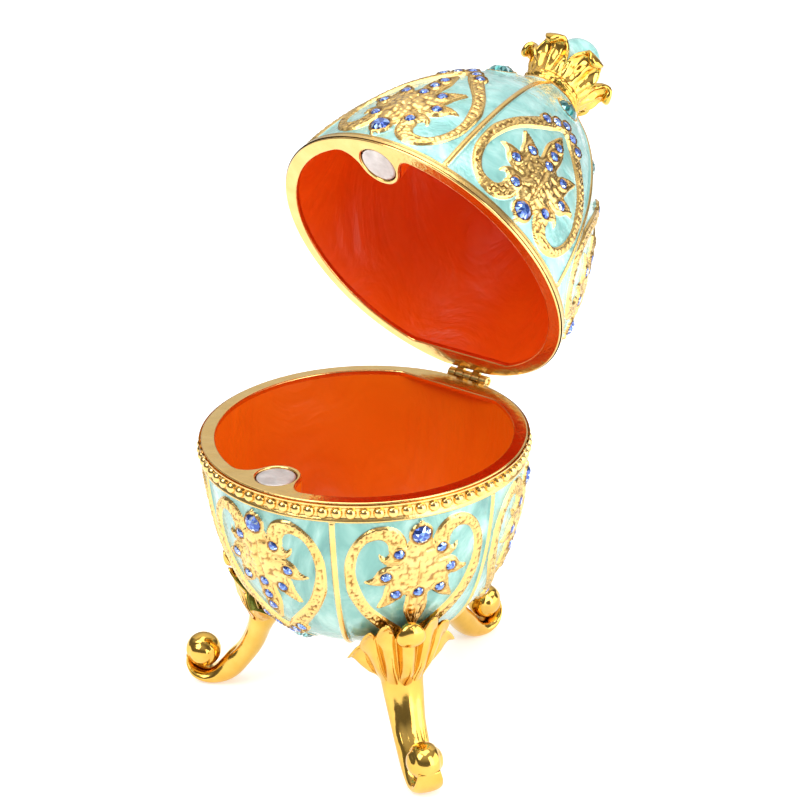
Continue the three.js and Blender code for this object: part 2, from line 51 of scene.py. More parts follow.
RIM_GAP = 0.3
WALL = 2.2
BOWL_DEPTH = 36.7
BOWL_FLAT = 9.0
LID_HEIGHT = 46.0
LID_OUTLINE = [(0, 30), (8, 28.6), (16, 26.4), (24, 23.3), (32, 18.7), (38, 13.9), (43, 8.6), (46, 5.6)]
PANELS = 6
PANEL_TURN = -1.4
BOWL_SHIFT = 2.3
HEAD_ALONG = 4.8
LID_TEAL_ALONG = 37.2
BOWL_TEAL_ALONG = 34.2
BEAD_RING = 2.0
BEAD_RADIUS = 1.12
BEADS = 77
BEAD_TURN = 0.02
BOWL_TRIM = 3.95
LID_TRIM = 1.95
FOOT_DISC = 8.0
LID_CAP_ALONG = 44.6
RIB_HALF = 0.62
OPEN_ANGLE = math.radians(62)
HINGE_Y = 31.3
HINGE_Z = -0.2
HINGE_SHIFT = 0.7
HINGE_HALF = 4.9
HINGE_FACE_Y = 29.75
KNUCKLES = 5
KNUCKLE_LENGTH = 1.64
KNUCKLE_GAP = 0.25
KNUCKLE_RADIUS = 1.1
HINGE_CHORD_Y = 25.2
MAGNET_RADIUS = 3.55
MAGNET_Y = -24.4
MAGNET_SUNK = 0.15
BOSS_DEPTH = 4.0
RIM_THICK = 1.1
RECESS_DEPTH = 2.4
LEG_TURN = -4
LEG_AZIMUTHS = {"leg_left": 210, "leg_right": -30, "leg_back": 90}
GROUND = -57.5
BIG_STONE = 1.85
TEAL_STONE = 2.5
SMALL_STONE = 1.08
STONE_LIFT = {BIG_STONE: 0.55, SMALL_STONE: 0.5, TEAL_STONE: 0.1}
BUD_RADIUS = 4.7
BUD_CENTRE = 57.4

hinge = np.array(frame["joints"][0]["pos_m"]) / MM
EGG = hinge - np.array([0.0, HINGE_Y, HINGE_Z])
panel_azimuths = [math.radians(PANEL_TURN - 90 + 60 * k) for k in range(PANELS)]


# ---------------------------------------------------------------- placing
def stand(points):
    return (np.asarray(points, float) + EGG) * MM


def lean(points):
    """From the closed lid's own frame to where the open lid stands."""
    p = np.asarray(points, float) + [0, 0, RIM_GAP]
    y, z = p[..., 1] - HINGE_Y, p[..., 2] - HINGE_Z
    c, s = math.cos(OPEN_ANGLE), math.sin(OPEN_ANGLE)
    return stand(np.stack([p[..., 0], y * c + z * s + HINGE_Y, z * c - y * s + HINGE_Z], -1))


def turned_by(angle):
    """Turns points about the egg's axis before they are put on the bowl."""
    c, s = math.cos(angle), math.sin(angle)

    def place(points):
        p = np.asarray(points, float)
        x, y = p[..., 0], p[..., 1]
        return stand(np.stack([x * c - y * s, x * s + y * c, p[..., 2]], -1))

    return place


# ---------------------------------------------------------------- meshes
def put(name, data):
    """A new object in the scene, at the origin."""
    thing = bpy.data.objects.new(name, data)
    bpy.context.scene.collection.objects.link(thing)
    return thing


def add_values(mesh, key, numbers):
    """One number for each vertex, which the materials read by that key."""
    values = mesh.attributes.new(key, "FLOAT", "POINT")
    values.data.foreach_set("value", np.asarray(numbers, np.float32).ravel())


def mesh_piece(name, points, faces, place, body, material, values=None, smooth=True, slot=None):
    """faces is a list of index arrays, each with one row per face."""
    mesh = bpy.data.meshes.new(name)
    co = place(points).astype(np.float32)
    loops = np.concatenate([f.ravel() for f in faces]).astype(np.int32)
    sizes = np.concatenate([np.full(len(f), f.shape[1]) for f in faces]).astype(np.int32)
    starts = np.concatenate([[0], np.cumsum(sizes)[:-1]]).astype(np.int32)
    mesh.vertices.add(len(co))
    mesh.vertices.foreach_set("co", co.ravel())
    mesh.loops.add(len(loops))
    mesh.loops.foreach_set("vertex_index", loops)
    mesh.polygons.add(len(sizes))
    mesh.polygons.foreach_set("loop_start", starts)
    mesh.polygons.foreach_set("loop_total", sizes)
    mesh.polygons.foreach_set("use_smooth", np.full(len(sizes), smooth))
    mesh.update(calc_edges=True)
    for key, numbers in (values or {}).items():
        add_values(mesh, key, numbers)
    mesh.validate()
    mesh.materials.append(material)
    piece = put(name, mesh)
    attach(piece, body)
    return piece


def joined(parts):
    """Several (points, faces) pairs as one."""
    starts = np.cumsum([0] + [len(points) for points, _ in parts])
    faces = [f + start for start, (_, some) in zip(starts, parts) for f in some]
    return np.concatenate([points for points, _ in parts]), faces


def grid_faces(rows, columns, closed=False, flip=False, start=0):
    """Quads between neighbours of a grid of points, closed on itself across its columns if asked."""
    j = np.arange(columns if closed else columns - 1)
    i = np.arange(rows - 1)[:, None]
    a = i * columns + j
    b = i * columns + (j + 1) % columns
    quads = np.stack([a, b, b + columns, a + columns], -1).reshape(-1, 4) + start
    return quads[:, ::-1] if flip else quads


def fan(ring, tip, flip=False):
    """Triangles from a ring of points to one tip."""
    ring = np.asarray(ring)
    faces = np.stack([ring, np.roll(ring, -1), np.full(len(ring), tip)], -1)
    return faces[:, ::-1] if flip else faces


def lathe(profile, columns):
    """Rings about Z from (radius, height) pairs; a radius of 0 at either end becomes a tip."""
    profile = np.asarray(profile, float)
    angles = np.linspace(0, 2 * math.pi, columns, endpoint=False)
    x, y = np.cos(angles), np.sin(angles)
    rings = [p for p in profile if p[0] > 1e-6]
    points = np.concatenate([np.stack([r * x, r * y, np.full(columns, z)], -1) for r, z in rings])
    faces = [grid_faces(len(rings), columns, closed=True)]
    for at_end, p in ((False, profile[0]), (True, profile[-1])):
        if p[0] <= 1e-6:
            ring = np.arange(columns) + (len(rings) - 1) * columns * at_end
            faces.append(fan(ring, len(points), flip=not at_end))
            points = np.concatenate([points, [[0, 0, p[1]]]])
    return points, faces


def unit_ball(rings, columns):
    tilt = np.linspace(-math.pi / 2, math.pi / 2, rings)
    return lathe([(0, -1)] + [(math.cos(a), math.sin(a)) for a in tilt[1:-1]] + [(0, 1)], columns)


def curve_through(points, count):
    """A Catmull-Rom curve through points of any width, with the same share of count on each span."""
    p = np.asarray(points, float)
    p = np.concatenate([[2 * p[0] - p[1]], p, [2 * p[-1] - p[-2]]])
    t = np.linspace(0, len(p) - 3 - 1e-9, count)
    k = t.astype(int)
    f = (t - k)[:, None]
    a, b, c, d = p[k], p[k + 1], p[k + 2], p[k + 3]
    return 0.5 * (2 * b + (c - a) * f + (2 * a - 5 * b + 4 * c - d) * f * f + (3 * b - a - 3 * c + d) * f**3)


def rise(low, high, x):
    """A smooth step from 0 at low to 1 at high, which may be the lower of the two."""
    t = np.clip((x - low) / (high - low), 0, 1)
    return t * t * (3 - 2 * t)


# ---------------------------------------------------------------- materials
def new_material(name):
    material = bpy.data.materials.new(name)
    material.use_nodes = True
    nodes, links = material.node_tree.nodes, material.node_tree.links
    return material, nodes, links, nodes["Principled BSDF"]


def noise(nodes, links, coordinates, scale, detail=3.0, roughness=0.55, distortion=0.0):
    node = nodes.new("ShaderNodeTexNoise")
    node.inputs["Scale"].default_value = scale
    node.inputs["Detail"].default_value = detail
    node.inputs["Roughness"].default_value = roughness
    node.inputs["Distortion"].default_value = distortion
    links.new(coordinates, node.inputs["Vector"])
    return node.outputs["Fac"]


def ramp(nodes, links, value, stops):
    node = nodes.new("ShaderNodeValToRGB")
    for _ in range(len(stops) - 2):
        node.color_ramp.elements.new(0.5)
    for element, (position, colour) in zip(node.color_ramp.elements, stops):
        element.position = position
        element.color = (*colour, 1)
    links.new(value, node.inputs["Fac"])
    return node.outputs["Color"]


def bump(nodes, links, height, distance, strength, under=None):
    node = nodes.new("ShaderNodeBump")
    node.inputs["Distance"].default_value = distance
    node.inputs["Strength"].default_value = strength
    links.new(height, node.inputs["Height"])
    if under is not None:
        links.new(under, node.inputs["Normal"])
    return node.outputs["Normal"]


def position(nodes):
    return nodes.new("ShaderNodeTexCoord").outputs["Object"]


GOLD_STOPS = [(0.0, (0.62, 0.35, 0.055)), (0.45, (0.72, 0.43, 0.085)), (1.0, (0.82, 0.53, 0.14))]
PALE_STOPS = [(0.0, (0.74, 0.46, 0.13)), (0.5, (0.83, 0.55, 0.19)), (1.0, (0.92, 0.67, 0.29))]

# Painted shade: the dark brown that the gilt's hollows are darkened towards, standing in for the shade that
# falls there.
HOLLOW_SHADE = (0.20, 0.075, 0.008, 1)


def gold_nodes(nodes, links, shader, stops, roughness, pits):
    where = position(nodes)
    links.new(ramp(nodes, links, noise(nodes, links, where, scale=260), stops), shader.inputs["Base Color"])
    shader.inputs["Metallic"].default_value = 1.0
    shader.inputs["Roughness"].default_value = roughness
    fine = noise(nodes, links, where, scale=900, detail=2.0)
    soft = noise(nodes, links, where, scale=160, detail=2.0)
    normal = bump(nodes, links, soft, distance=0.0006, strength=0.16)
    pitted = bump(nodes, links, fine, distance=0.0002, strength=pits, under=normal)
    links.new(pitted, shader.inputs["Normal"])


def paint_hollow_shade(nodes, links, shader):
    """Painted shade: darkens the gilt's base colour towards a dark brown in the hollows of the relief, where
    the attribute hollow is high.
    """
    colour = shader.inputs["Base Color"].links[0].from_socket
    level = nodes.new("ShaderNodeAttribute")
    level.attribute_name = "hollow"
    mix = nodes.new("ShaderNodeMix")
    mix.data_type = "RGBA"
    links.new(level.outputs["Fac"], mix.inputs["Factor"])
    links.new(colour, mix.inputs["A"])
    mix.inputs["B"].default_value = HOLLOW_SHADE
    links.new(mix.outputs["Result"], shader.inputs["Base Color"])


def gold_material(name, stops, roughness, pits):
    material, nodes, links, shader = new_material(name)
    gold_nodes(nodes, links, shader, stops, roughness, pits)
    return material


def enamel_nodes(nodes, links, shader, stops, swirl, wave, gloss=1.0):
    where = position(nodes)
    stretched = nodes.new("ShaderNodeMapping")
    stretched.inputs["Scale"].default_value = (1.0, 1.0, 0.55)
    links.new(where, stretched.inputs["Vector"])
    cloud = noise(nodes, links, stretched.outputs["Vector"], swirl, detail=4.0, distortion=1.6)
    links.new(ramp(nodes, links, cloud, stops), shader.inputs["Base Color"])
    shader.inputs["Roughness"].default_value = 0.3
    shader.inputs["Specular IOR Level"].default_value = 0.35
    shader.inputs["Coat Weight"].default_value = gloss
    shader.inputs["Coat Roughness"].default_value = 0.03
    uneven = noise(nodes, links, where, wave, detail=1.5)
    links.new(bump(nodes, links, uneven, distance=0.0012, strength=0.35), shader.inputs["Coat Normal"])
    links.new(bump(nodes, links, cloud, distance=0.0012, strength=0.5), shader.inputs["Normal"])


def gilt_enamel(name, enamel_stops, swirl, wave, metallic, gloss=1.0, roughness=0.24):
    """Gold where the attribute gold is over 0, enamel where it is under."""
    material, nodes, links, enamel = new_material(name)
    enamel_nodes(nodes, links, enamel, enamel_stops, swirl, wave, gloss)
    enamel.inputs["Metallic"].default_value = metallic
    gilt = nodes.new("ShaderNodeBsdfPrincipled")
    gold_nodes(nodes, links, gilt, PALE_STOPS, roughness, pits=0.22)
    paint_hollow_shade(nodes, links, gilt)
    level = nodes.new("ShaderNodeAttribute")
    level.attribute_name = "gold"
    edge = nodes.new("ShaderNodeMapRange")
    edge.inputs["From Min"].default_value = -0.05
    edge.inputs["From Max"].default_value = 0.05
    links.new(level.outputs["Fac"], edge.inputs["Value"])
    mix = nodes.new("ShaderNodeMixShader")
    links.new(edge.outputs["Result"], mix.inputs["Fac"])
    links.new(enamel.outputs["BSDF"], mix.inputs[1])
    links.new(gilt.outputs["BSDF"], mix.inputs[2])
    links.new(mix.outputs["Shader"], nodes["Material Output"].inputs["Surface"])
    return material


def stone_material(name, deep, light):
    """Foil-backed glass with painted highlights: each facet's base colour is set, by a number stored on it,
    from the deep colour through the light one up to a near-white painted glint.
    """
    material, nodes, links, shader = new_material(name)
    facet = nodes.new("ShaderNodeAttribute")
    facet.attribute_name = "facet"
    glint = (0.80, 0.92, 1.0)
    stops = [(0.0, deep), (0.45, deep), (0.75, light), (1.0, glint)]
    links.new(ramp(nodes, links, facet.outputs["Fac"], stops), shader.inputs["Base Color"])
    shader.inputs["Metallic"].default_value = 0.7
    shader.inputs["Roughness"].default_value = 0.06
    shader.inputs["Coat Weight"].default_value = 1.0
    shader.inputs["Coat Roughness"].default_value = 0.02
    return material


# Where along the clouding of an aqua enamel each of its four tones lies, and the tones. The bowl's and the
# lid's tones are one enamel in two brightnesses: the darker bowl copy is painted shade and the lighter lid
# copy painted light.
CLOUDING = (0.30, 0.46, 0.60, 0.78)
BOWL_SHADED_TONES = [(0.10, 0.29, 0.26), (0.17, 0.41, 0.36), (0.27, 0.52, 0.46), (0.50, 0.72, 0.65)]
LID_LIT_TONES = [(0.17, 0.43, 0.40), (0.26, 0.56, 0.52), (0.37, 0.66, 0.62), (0.62, 0.83, 0.79)]
BOWL_AQUA = list(zip(CLOUDING, BOWL_SHADED_TONES))
LID_AQUA = list(zip(CLOUDING, LID_LIT_TONES))
ORANGE = [(0.2, (0.74, 0.115, 0.002)), (0.8, (0.84, 0.155, 0.003))]
DEEP_ORANGE = [(0.2, (0.78, 0.065, 0.001)), (0.8, (0.90, 0.10, 0.002))]
BOWL_SKIN = gilt_enamel("bowl_gilt_enamel", BOWL_AQUA, swirl=120, wave=500, metallic=0.35)
LID_SKIN = gilt_enamel("lid_gilt_enamel", LID_AQUA, swirl=120, wave=500, metallic=0.35)
BOWL_LINING = gilt_enamel("bowl_orange_enamel", ORANGE, swirl=60, wave=130, metallic=0.0, gloss=0.3)
LID_LINING = gilt_enamel("lid_orange_enamel", DEEP_ORANGE, swirl=60, wave=130, metallic=0.0, gloss=0.3)
GOLD = gold_material("polished_gold", GOLD_STOPS, roughness=0.12, pits=0.10)
PALE_GOLD = gold_material("pale_gold", PALE_STOPS, roughness=0.16, pits=0.22)
BLUE = stone_material("blue_stone", deep=(0.02, 0.07, 0.36), light=(0.22, 0.42, 0.95))
TEAL = stone_material("teal_stone", deep=(0.0, 0.10, 0.10), light=(0.05, 0.50, 0.46))


def steel_material():
    material, nodes, links, shader = new_material("magnet_nickel")
    tone = noise(nodes, links, position(nodes), scale=500, detail=5.0)
    stops = [(0.3, (0.50, 0.47, 0.45)), (0.7, (0.72, 0.69, 0.67))]
    links.new(ramp(nodes, links, tone, stops), shader.inputs["Base Color"])
    shader.inputs["Metallic"].default_value = 0.85
    shader.inputs["Roughness"].default_value = 0.42
    links.new(bump(nodes, links, tone, distance=0.0003, strength=0.4), shader.inputs["Normal"])
    return material


def bud_material():
    material, nodes, links, shader = new_material("bud_enamel")
    enamel_nodes(nodes, links, shader, LID_AQUA, swirl=170, wave=300)
    return material


STEEL = steel_material()
BUD_ENAMEL = bud_material()


# ---------------------------------------------------------------- outlines of the two halves
def bowl_radius(depth):
    """The bowl's radius at a depth under its rim."""
    t = np.clip(np.asarray(depth, float) / BOWL_DEPTH, 0, 0.9999)
    return RIM_RADIUS * (1 - t**1.68) ** (1 / 4.5)


def lid_radius(height):
    """The lid's radius at a height over its rim, on a smooth curve through LID_OUTLINE."""
    h = np.clip(np.asarray(height, float), 0, LID_HEIGHT)
    zs, rs = np.array(LID_OUTLINE, float).T
    last = len(zs) - 1
    after = np.minimum(np.arange(last + 1) + 1, last)
    before = np.maximum(np.arange(last + 1) - 1, 0)
    slopes = (rs[after] - rs[before]) / (zs[after] - zs[before])
    k = np.clip(np.searchsorted(zs, h, side="right") - 1, 0, last - 1)
    span = zs[k + 1] - zs[k]
    t = (h - zs[k]) / span
    start = rs[k] * (1 + 2 * t) * (1 - t) ** 2 + span * slopes[k] * t * (1 - t) ** 2
    return start + rs[k + 1] * t * t * (3 - 2 * t) + span * slopes[k + 1] * t * t * (t - 1)


class Half:
    """One half of the egg: side is -1 for the bowl and 1 for the lid, shift moves its medallions."""

    def __init__(self, name, side, radius, extent, shift, place, skin, lining):
        self.name, self.side, self.radius, self.extent = name, side, radius, extent
        self.shift, self.place, self.skin, self.lining = shift, place, skin, lining
        self.body = "base" if side < 0 else "lid"


BOWL = Half("bowl", -1, bowl_radius, BOWL_DEPTH, BOWL_SHIFT, stand, BOWL_SKIN, BOWL_LINING)
LID = Half("lid", 1, lid_radius, LID_HEIGHT, 0.0, lean, LID_SKIN, LID_LINING)


def face_frame(half, azimuth, across, along):
    """The points on a half's face, along from its rim, with their outward and sideways directions."""
    step = 0.2
    slope = (half.radius(along + step) - half.radius(along - step)) / (2 * step)
    flat = half.radius(along)
    angle = azimuth + across / flat
    c, s = np.cos(angle), np.sin(angle)
    stretch = np.hypot(1, slope)
    zero = np.zeros_like(c)
    point = np.stack([flat * c, flat * s, half.side * along + zero], -1)
    out = np.stack([c / stretch, s / stretch, -half.side * slope / stretch + zero], -1)
    around = np.stack([-s, c, zero], -1)
    return point, out, around


# ---------------------------------------------------------------- relief
def polygon_distance(outline, x, y):
    """Distance to a closed outline, over 0 inside it."""
    a = np.asarray(outline, float)
    b = np.roll(a, -1, axis=0)
    best = np.full(x.shape, 1e9)
    within = np.zeros(x.shape, bool)
    for (x0, y0), (x1, y1) in zip(a, b):
        dx, dy = x1 - x0, y1 - y0
        t = np.clip(((x - x0) * dx + (y - y0) * dy) / (dx * dx + dy * dy + 1e-12), 0, 1)
        best = np.minimum(best, (x - x0 - t * dx) ** 2 + (y - y0 - t * dy) ** 2)
        crosses = (y0 > y) != (y1 > y)
        within ^= crosses & (x < x0 + (y - y0) * dx / (dy if dy else 1e-12))
    return np.where(within, 1, -1) * np.sqrt(best)


def grains(x, y, pitch, seed):
    """Round grains scattered at about that pitch: 1 at the middle of each, 0 between them."""
    draw = np.random.default_rng(seed)
    size = 256
    jitter = draw.uniform(-0.32, 0.32, (size, size, 2))
    gx, gy = np.floor(x / pitch).astype(int), np.floor(y / pitch).astype(int)
    best = np.full(x.shape, 1e9)
    for i in (-1, 0, 1):
        for j in (-1, 0, 1):
            cell = jitter[(gx + i) % size, (gy + j) % size]
            px, py = (gx + i + 0.5 + cell[..., 0]) * pitch, (gy + j + 0.5 + cell[..., 1]) * pitch
            best = np.minimum(best, np.hypot(x - px, y - py))
    return np.clip(1 - (best / (0.62 * pitch)) ** 2, 0, 1)


# The medallion's right half, as (across, distance from the lid's rim).
FRAME_OUTER = [
    (2.5, 8.0), (2.7, 5.6), (4.2, 3.4), (6.5, 2.5), (9.0, 3.0), (11.2, 4.8), (12.6, 7.2), (13.3, 10.0),
    (13.2, 13.0), (12.6, 16.5), (11.5, 18.9), (9.7, 21.8), (7.8, 24.1), (5.6, 26.6), (2.9, 29.2), (0.0, 31.3),
]
FRAME_INNER = [
    (4.4, 8.6), (5.6, 7.9), (5.8, 6.6), (6.5, 5.6), (7.7, 5.2), (9.5, 5.8), (10.7, 7.5), (11.3, 9.8),
    (11.3, 12.5), (10.5, 15.3), (9.2, 18.3), (7.6, 20.7), (5.0, 23.4), (2.5, 25.9), (0.0, 28.3),
]
PALM = [
    (-1.0, 5.0), (1.9, 5.9), (2.6, 7.0), (3.9, 6.7), (5.0, 7.1), (5.6, 8.3), (6.3, 9.0), (7.4, 8.2),
    (7.1, 9.6), (5.9, 10.7), (4.3, 11.0), (3.6, 11.1), (4.4, 10.9), (6.0, 11.0), (7.3, 11.8), (8.3, 13.4),
    (9.8, 14.2), (8.5, 14.9), (7.0, 15.1), (5.9, 15.1), (6.1, 16.2), (6.3, 17.8), (7.1, 20.4), (5.5, 20.0),
    (4.0, 19.1), (2.7, 17.8), (2.1, 18.0), (2.1, 19.4), (2.2, 20.9), (2.0, 22.4), (1.3, 24.2), (0.5, 26.0),
    (-0.3, 27.4),
]
SMALL_SEATS = [(3.9, 8.3), (6.0, 13.0), (4.1, 17.1), (0, 17.2)]
TIP_SEATS = [(0, 20.2), (0, 22.9)]
APEX_SEATS = [(4.2, 27.1), (2.1, 28.7), (0, 30.2)]
GRAIN_PITCH = 0.74
HAMMER_PITCH = 1.15
FRAME_RAISED, FRAME_SUNK, FRAME_GRAIN = 0.58, 0.20, 0.30
LEAF_RAISED, LEAF_SUNK, LEAF_HAMMERED, HUB_RAISED = 0.60, 0.24, 0.26, 0.55
COLLAR_RAISED, COLLAR_WIDTH = 0.85, 0.42
PRONG_RAISED, PRONG_RADIUS = 0.9, 0.45


def frame_outline():
    outer = curve_through(FRAME_OUTER + [(-2.9, 29.2)], 90)
    inner = curve_through(FRAME_INNER + [(-2.5, 25.9)], 90)
    return np.concatenate([outer, inner[::-1]])


def seat(u, v, at, radius):
    """Height and gold level of a stone's collar."""
    d = np.hypot(u - at[0], v - at[1])
    collar = COLLAR_RAISED * rise(radius + COLLAR_WIDTH, radius + 0.12, d)
    collar -= 0.5 * rise(radius, radius - 0.25, d)
    return np.where(d < radius + 0.45, collar, -1.0), radius + 0.36 - d


def medallion(u, v, legged):
    """The relief of one panel at points (u, v): its height over the enamel, its gold level, over 0
    where it is gilded, and how hollow it is, from 0 to 1, which sets how much painted shade the gilt takes
    there."""
    au = np.abs(u)
    band = polygon_distance(frame_outline(), au, v)
    palm = polygon_distance(curve_through(PALM, 190), au, v)
    speck = grains(u, v, GRAIN_PITCH, seed=5)
    hammer = grains(u, v, HAMMER_PITCH, seed=9)
    height = FRAME_RAISED * rise(0, 0.34, band) - FRAME_SUNK * rise(0.38, 0.62, band)
    height += FRAME_GRAIN * speck * rise(0.42, 0.66, band)
    leaf = LEAF_RAISED * rise(0, 0.36, palm) - LEAF_SUNK * rise(0.36, 0.66, palm)
    hub = np.exp(-((au / 2.9) ** 2) - ((v - 11.5) / 4.6) ** 2)
    leaf += rise(0.3, 1.6, palm) * (HUB_RAISED * hub + LEAF_HAMMERED * hammer)
    height = np.maximum(height, leaf)
    gold = np.maximum(band, palm)
    seats = SMALL_SEATS + ([] if legged else APEX_SEATS + TIP_SEATS)
    for at in seats:
        ring, level = seat(au, v, at, SMALL_STONE)
        height, gold = np.where(level > 0.15, ring, np.maximum(height, ring)), np.maximum(gold, level)
    ring, level = seat(au, v, (0, HEAD_ALONG), BIG_STONE)
    prong = np.hypot(au, v - (HEAD_ALONG - BIG_STONE - 0.5)) - PRONG_RADIUS
    height = np.where(level > 0.15, ring, np.maximum(height, ring))
    height = np.maximum(height, PRONG_RAISED * rise(0.3, -0.3, prong))
    # Painted shade: the gaps between grains, the pits between hammer marks, the creases along the palmette
    # and the ring round each stone's collar are darkened in the gilt by how high hollow is.
    grain_gap_shade = rise(0.45, 0.0, speck) * rise(0.42, 0.66, band)
    pocks = 0.8 * rise(0.35, 0.0, hammer) * rise(0.5, 1.1, palm)
    crease = 0.7 * rise(0.22, 0.0, np.abs(palm - 0.62)) * rise(2.6, 0.6, palm)
    hollow = np.maximum(np.maximum(grain_gap_shade, pocks), crease)
    for at in seats:
        d = np.hypot(au - at[0], v - at[1]) - SMALL_STONE
        hollow = np.where(d < 0.42, rise(0.2, 0.02, d), hollow)
    d = np.hypot(au, v - HEAD_ALONG) - BIG_STONE
    hollow = np.where(d < 0.5, rise(0.24, 0.04, d), hollow)
    return height, np.maximum(np.maximum(gold, level), -prong), hollow


def half_skin(half, cell=0.27):
    """The outside of a half, its relief raised in the mesh, in a front and a back piece."""
    v_fine = np.linspace(0.35, half.extent, 2000)
    r_fine = half.radius(v_fine)
    run = np.concatenate([[0], np.cumsum(np.hypot(np.diff(v_fine), np.diff(r_fine)))])
    rows = int(run[-1] / cell)
    v = np.interp(np.linspace(0, run[-1], rows), run, v_fine)
    per_panel = int(2 * math.pi * RIM_RADIUS / PANELS / cell)
    angles = np.linspace(-math.pi / PANELS, math.pi / PANELS, per_panel + 1)
    angle, along = np.meshgrid(angles, v)
    across = angle * half.radius(along)
    bowl = half.side < 0
    sheets = {}
    for legged in (False, True) if bowl else (False,):
        height, gold, hollow = medallion(across, along - half.shift, legged)
        edge = (math.pi / PANELS - np.abs(angle)) * half.radius(along)
        rib = np.clip(1 - (edge / RIB_HALF) ** 2, 0, 1) ** 0.6
        height, gold = np.maximum(height, 0.5 * rib), np.maximum(gold, 0.5 - edge)
        if bowl:
            trim = BOWL_TRIM - along
            mould = 0.62 * rise(BOWL_TRIM, 3.7, along) - 0.5 * rise(3.25, 3.0, along)
            mould += 0.45 * rise(1.0, 0.75, along)
            foot = half.radius(along) - FOOT_DISC
            disc = 0.35 * rise(0.2, -0.2, foot) - 0.3 * rise(-0.9, -1.2, foot) + 0.25 * rise(-2.6, -2.9, foot)
            height = np.where(along < 4.1, np.maximum(mould, 0), height)
            height, gold = np.where(foot < 0.25, disc, height), np.maximum(gold, -foot)
            teal_along = BOWL_TEAL_ALONG
        else:
            trim = LID_TRIM - along
            groove = np.clip(1 - ((along - 1.5) / 0.22) ** 2, 0, 1)
            mould = 0.40 * rise(1.98, 1.75, along) - 0.4 * groove
            top = along - LID_CAP_ALONG
            height = np.where(along < 2.1, np.maximum(mould, -0.1), height)
            height, gold = np.maximum(height, 0.45 * rise(-0.2, 0.3, top)), np.maximum(gold, top)
            teal_along = LID_TEAL_ALONG
        gold = np.where(along < 6, np.maximum(gold, trim), gold)
        if not legged:
            step = 0.05
            slope = (half.radius(teal_along + step) - half.radius(teal_along - step)) / (2 * step)
            d = np.hypot(across, (along - teal_along) * math.hypot(1, slope))
            collar = 0.35 * rise(TEAL_STONE + 0.5, TEAL_STONE + 0.25, d)
            collar -= 0.5 * rise(TEAL_STONE, TEAL_STONE - 0.3, d)
            height = np.where(d < TEAL_STONE + 0.6, collar, height)
            gold = np.maximum(gold, TEAL_STONE + 0.32 - d)
        # Painted shade in the relief's hollows: left off the mouldings by the rim and eased a little
        # elsewhere; it goes onto the mesh as the attribute hollow.
        hollow = np.where(along < 4.1 if bowl else along < 2.1, 0, 0.9 * hollow)
        sheets[legged] = (height, gold, hollow)
    for part, first in (("front", 5), ("back", 2)):
        points, levels, hollows = [], [], []
        for k in range(first, first + 3):
            legged = bowl and k % 2 == 1
            height, gold, hollow = sheets[legged]
            point, out, _ = face_frame(half, panel_azimuths[k % PANELS], across, along)
            block = point + out * height[..., None]
            keep = slice(None) if k == first + 2 else slice(None, -1)
            points.append(block[:, keep])
            levels.append(gold[:, keep])
            hollows.append(hollow[:, keep])
        points, levels, hollows = [np.concatenate(blocks, 1) for blocks in (points, levels, hollows)]
        near = (np.abs(points[..., 0] - HINGE_SHIFT) < HINGE_HALF) & (points[..., 1] > 0)
        near &= np.abs(points[..., 2]) < 2 * KNUCKLE_RADIUS
        points[..., 1] = np.where(near, np.minimum(points[..., 1], HINGE_FACE_Y), points[..., 1])
        shape = levels.shape
        piece = mesh_piece(
            f"{half.name}_skin_{part}", points.reshape(-1, 3), [grid_faces(*shape, flip=bowl)], half.place,
            half.body, half.skin, {"gold": levels, "hollow": hollows}, slot="gilt_enamel",
        )
        if part == "front":
            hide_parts(f"{half.name}_shell")


# ---------------------------------------------------------------- rim, boss and lining
# The inner edge round the boss of the catch, as (degrees from the catch, distance from the axis).
BOSS_EDGE = [
    (-19.5, 27.6), (-16.5, 27.35), (-13.8, 26.5), (-12.0, 25.4), (-10.9, 24.3), (-10.0, 22.6),
    (-8.2, 21.3), (-4.2, 20.2), (0, 19.9), (4.2, 20.2), (8.2, 21.3), (10.0, 22.6),
    (10.8, 24.4), (11.7, 25.7), (12.8, 26.7), (14.5, 27.4), (16.0, 27.6),
]


def inner_edge():
    """The rim's inner edge: a circle, broken by the boss in front and a straight stretch behind."""
    smooth = curve_through(BOSS_EDGE, 80)
    front = [(radius, math.radians(angle - 90)) for angle, radius in smooth]
    corner = math.asin(HINGE_CHORD_Y / RIM_INNER)
    side = np.linspace(front[-1][1], corner - 0.02, 60)[1:]
    chord = np.linspace(corner + 0.01, math.pi - corner - 0.01, 30)
    far = np.linspace(math.pi - corner + 0.02, front[0][1] + 2 * math.pi, 60)[:-1]
    polar = front + [(RIM_INNER, a) for a in side]
    polar += [(HINGE_CHORD_Y / math.sin(a), a) for a in chord] + [(RIM_INNER, a) for a in far]
    return np.array([(r * math.cos(a), r * math.sin(a)) for r, a in polar])


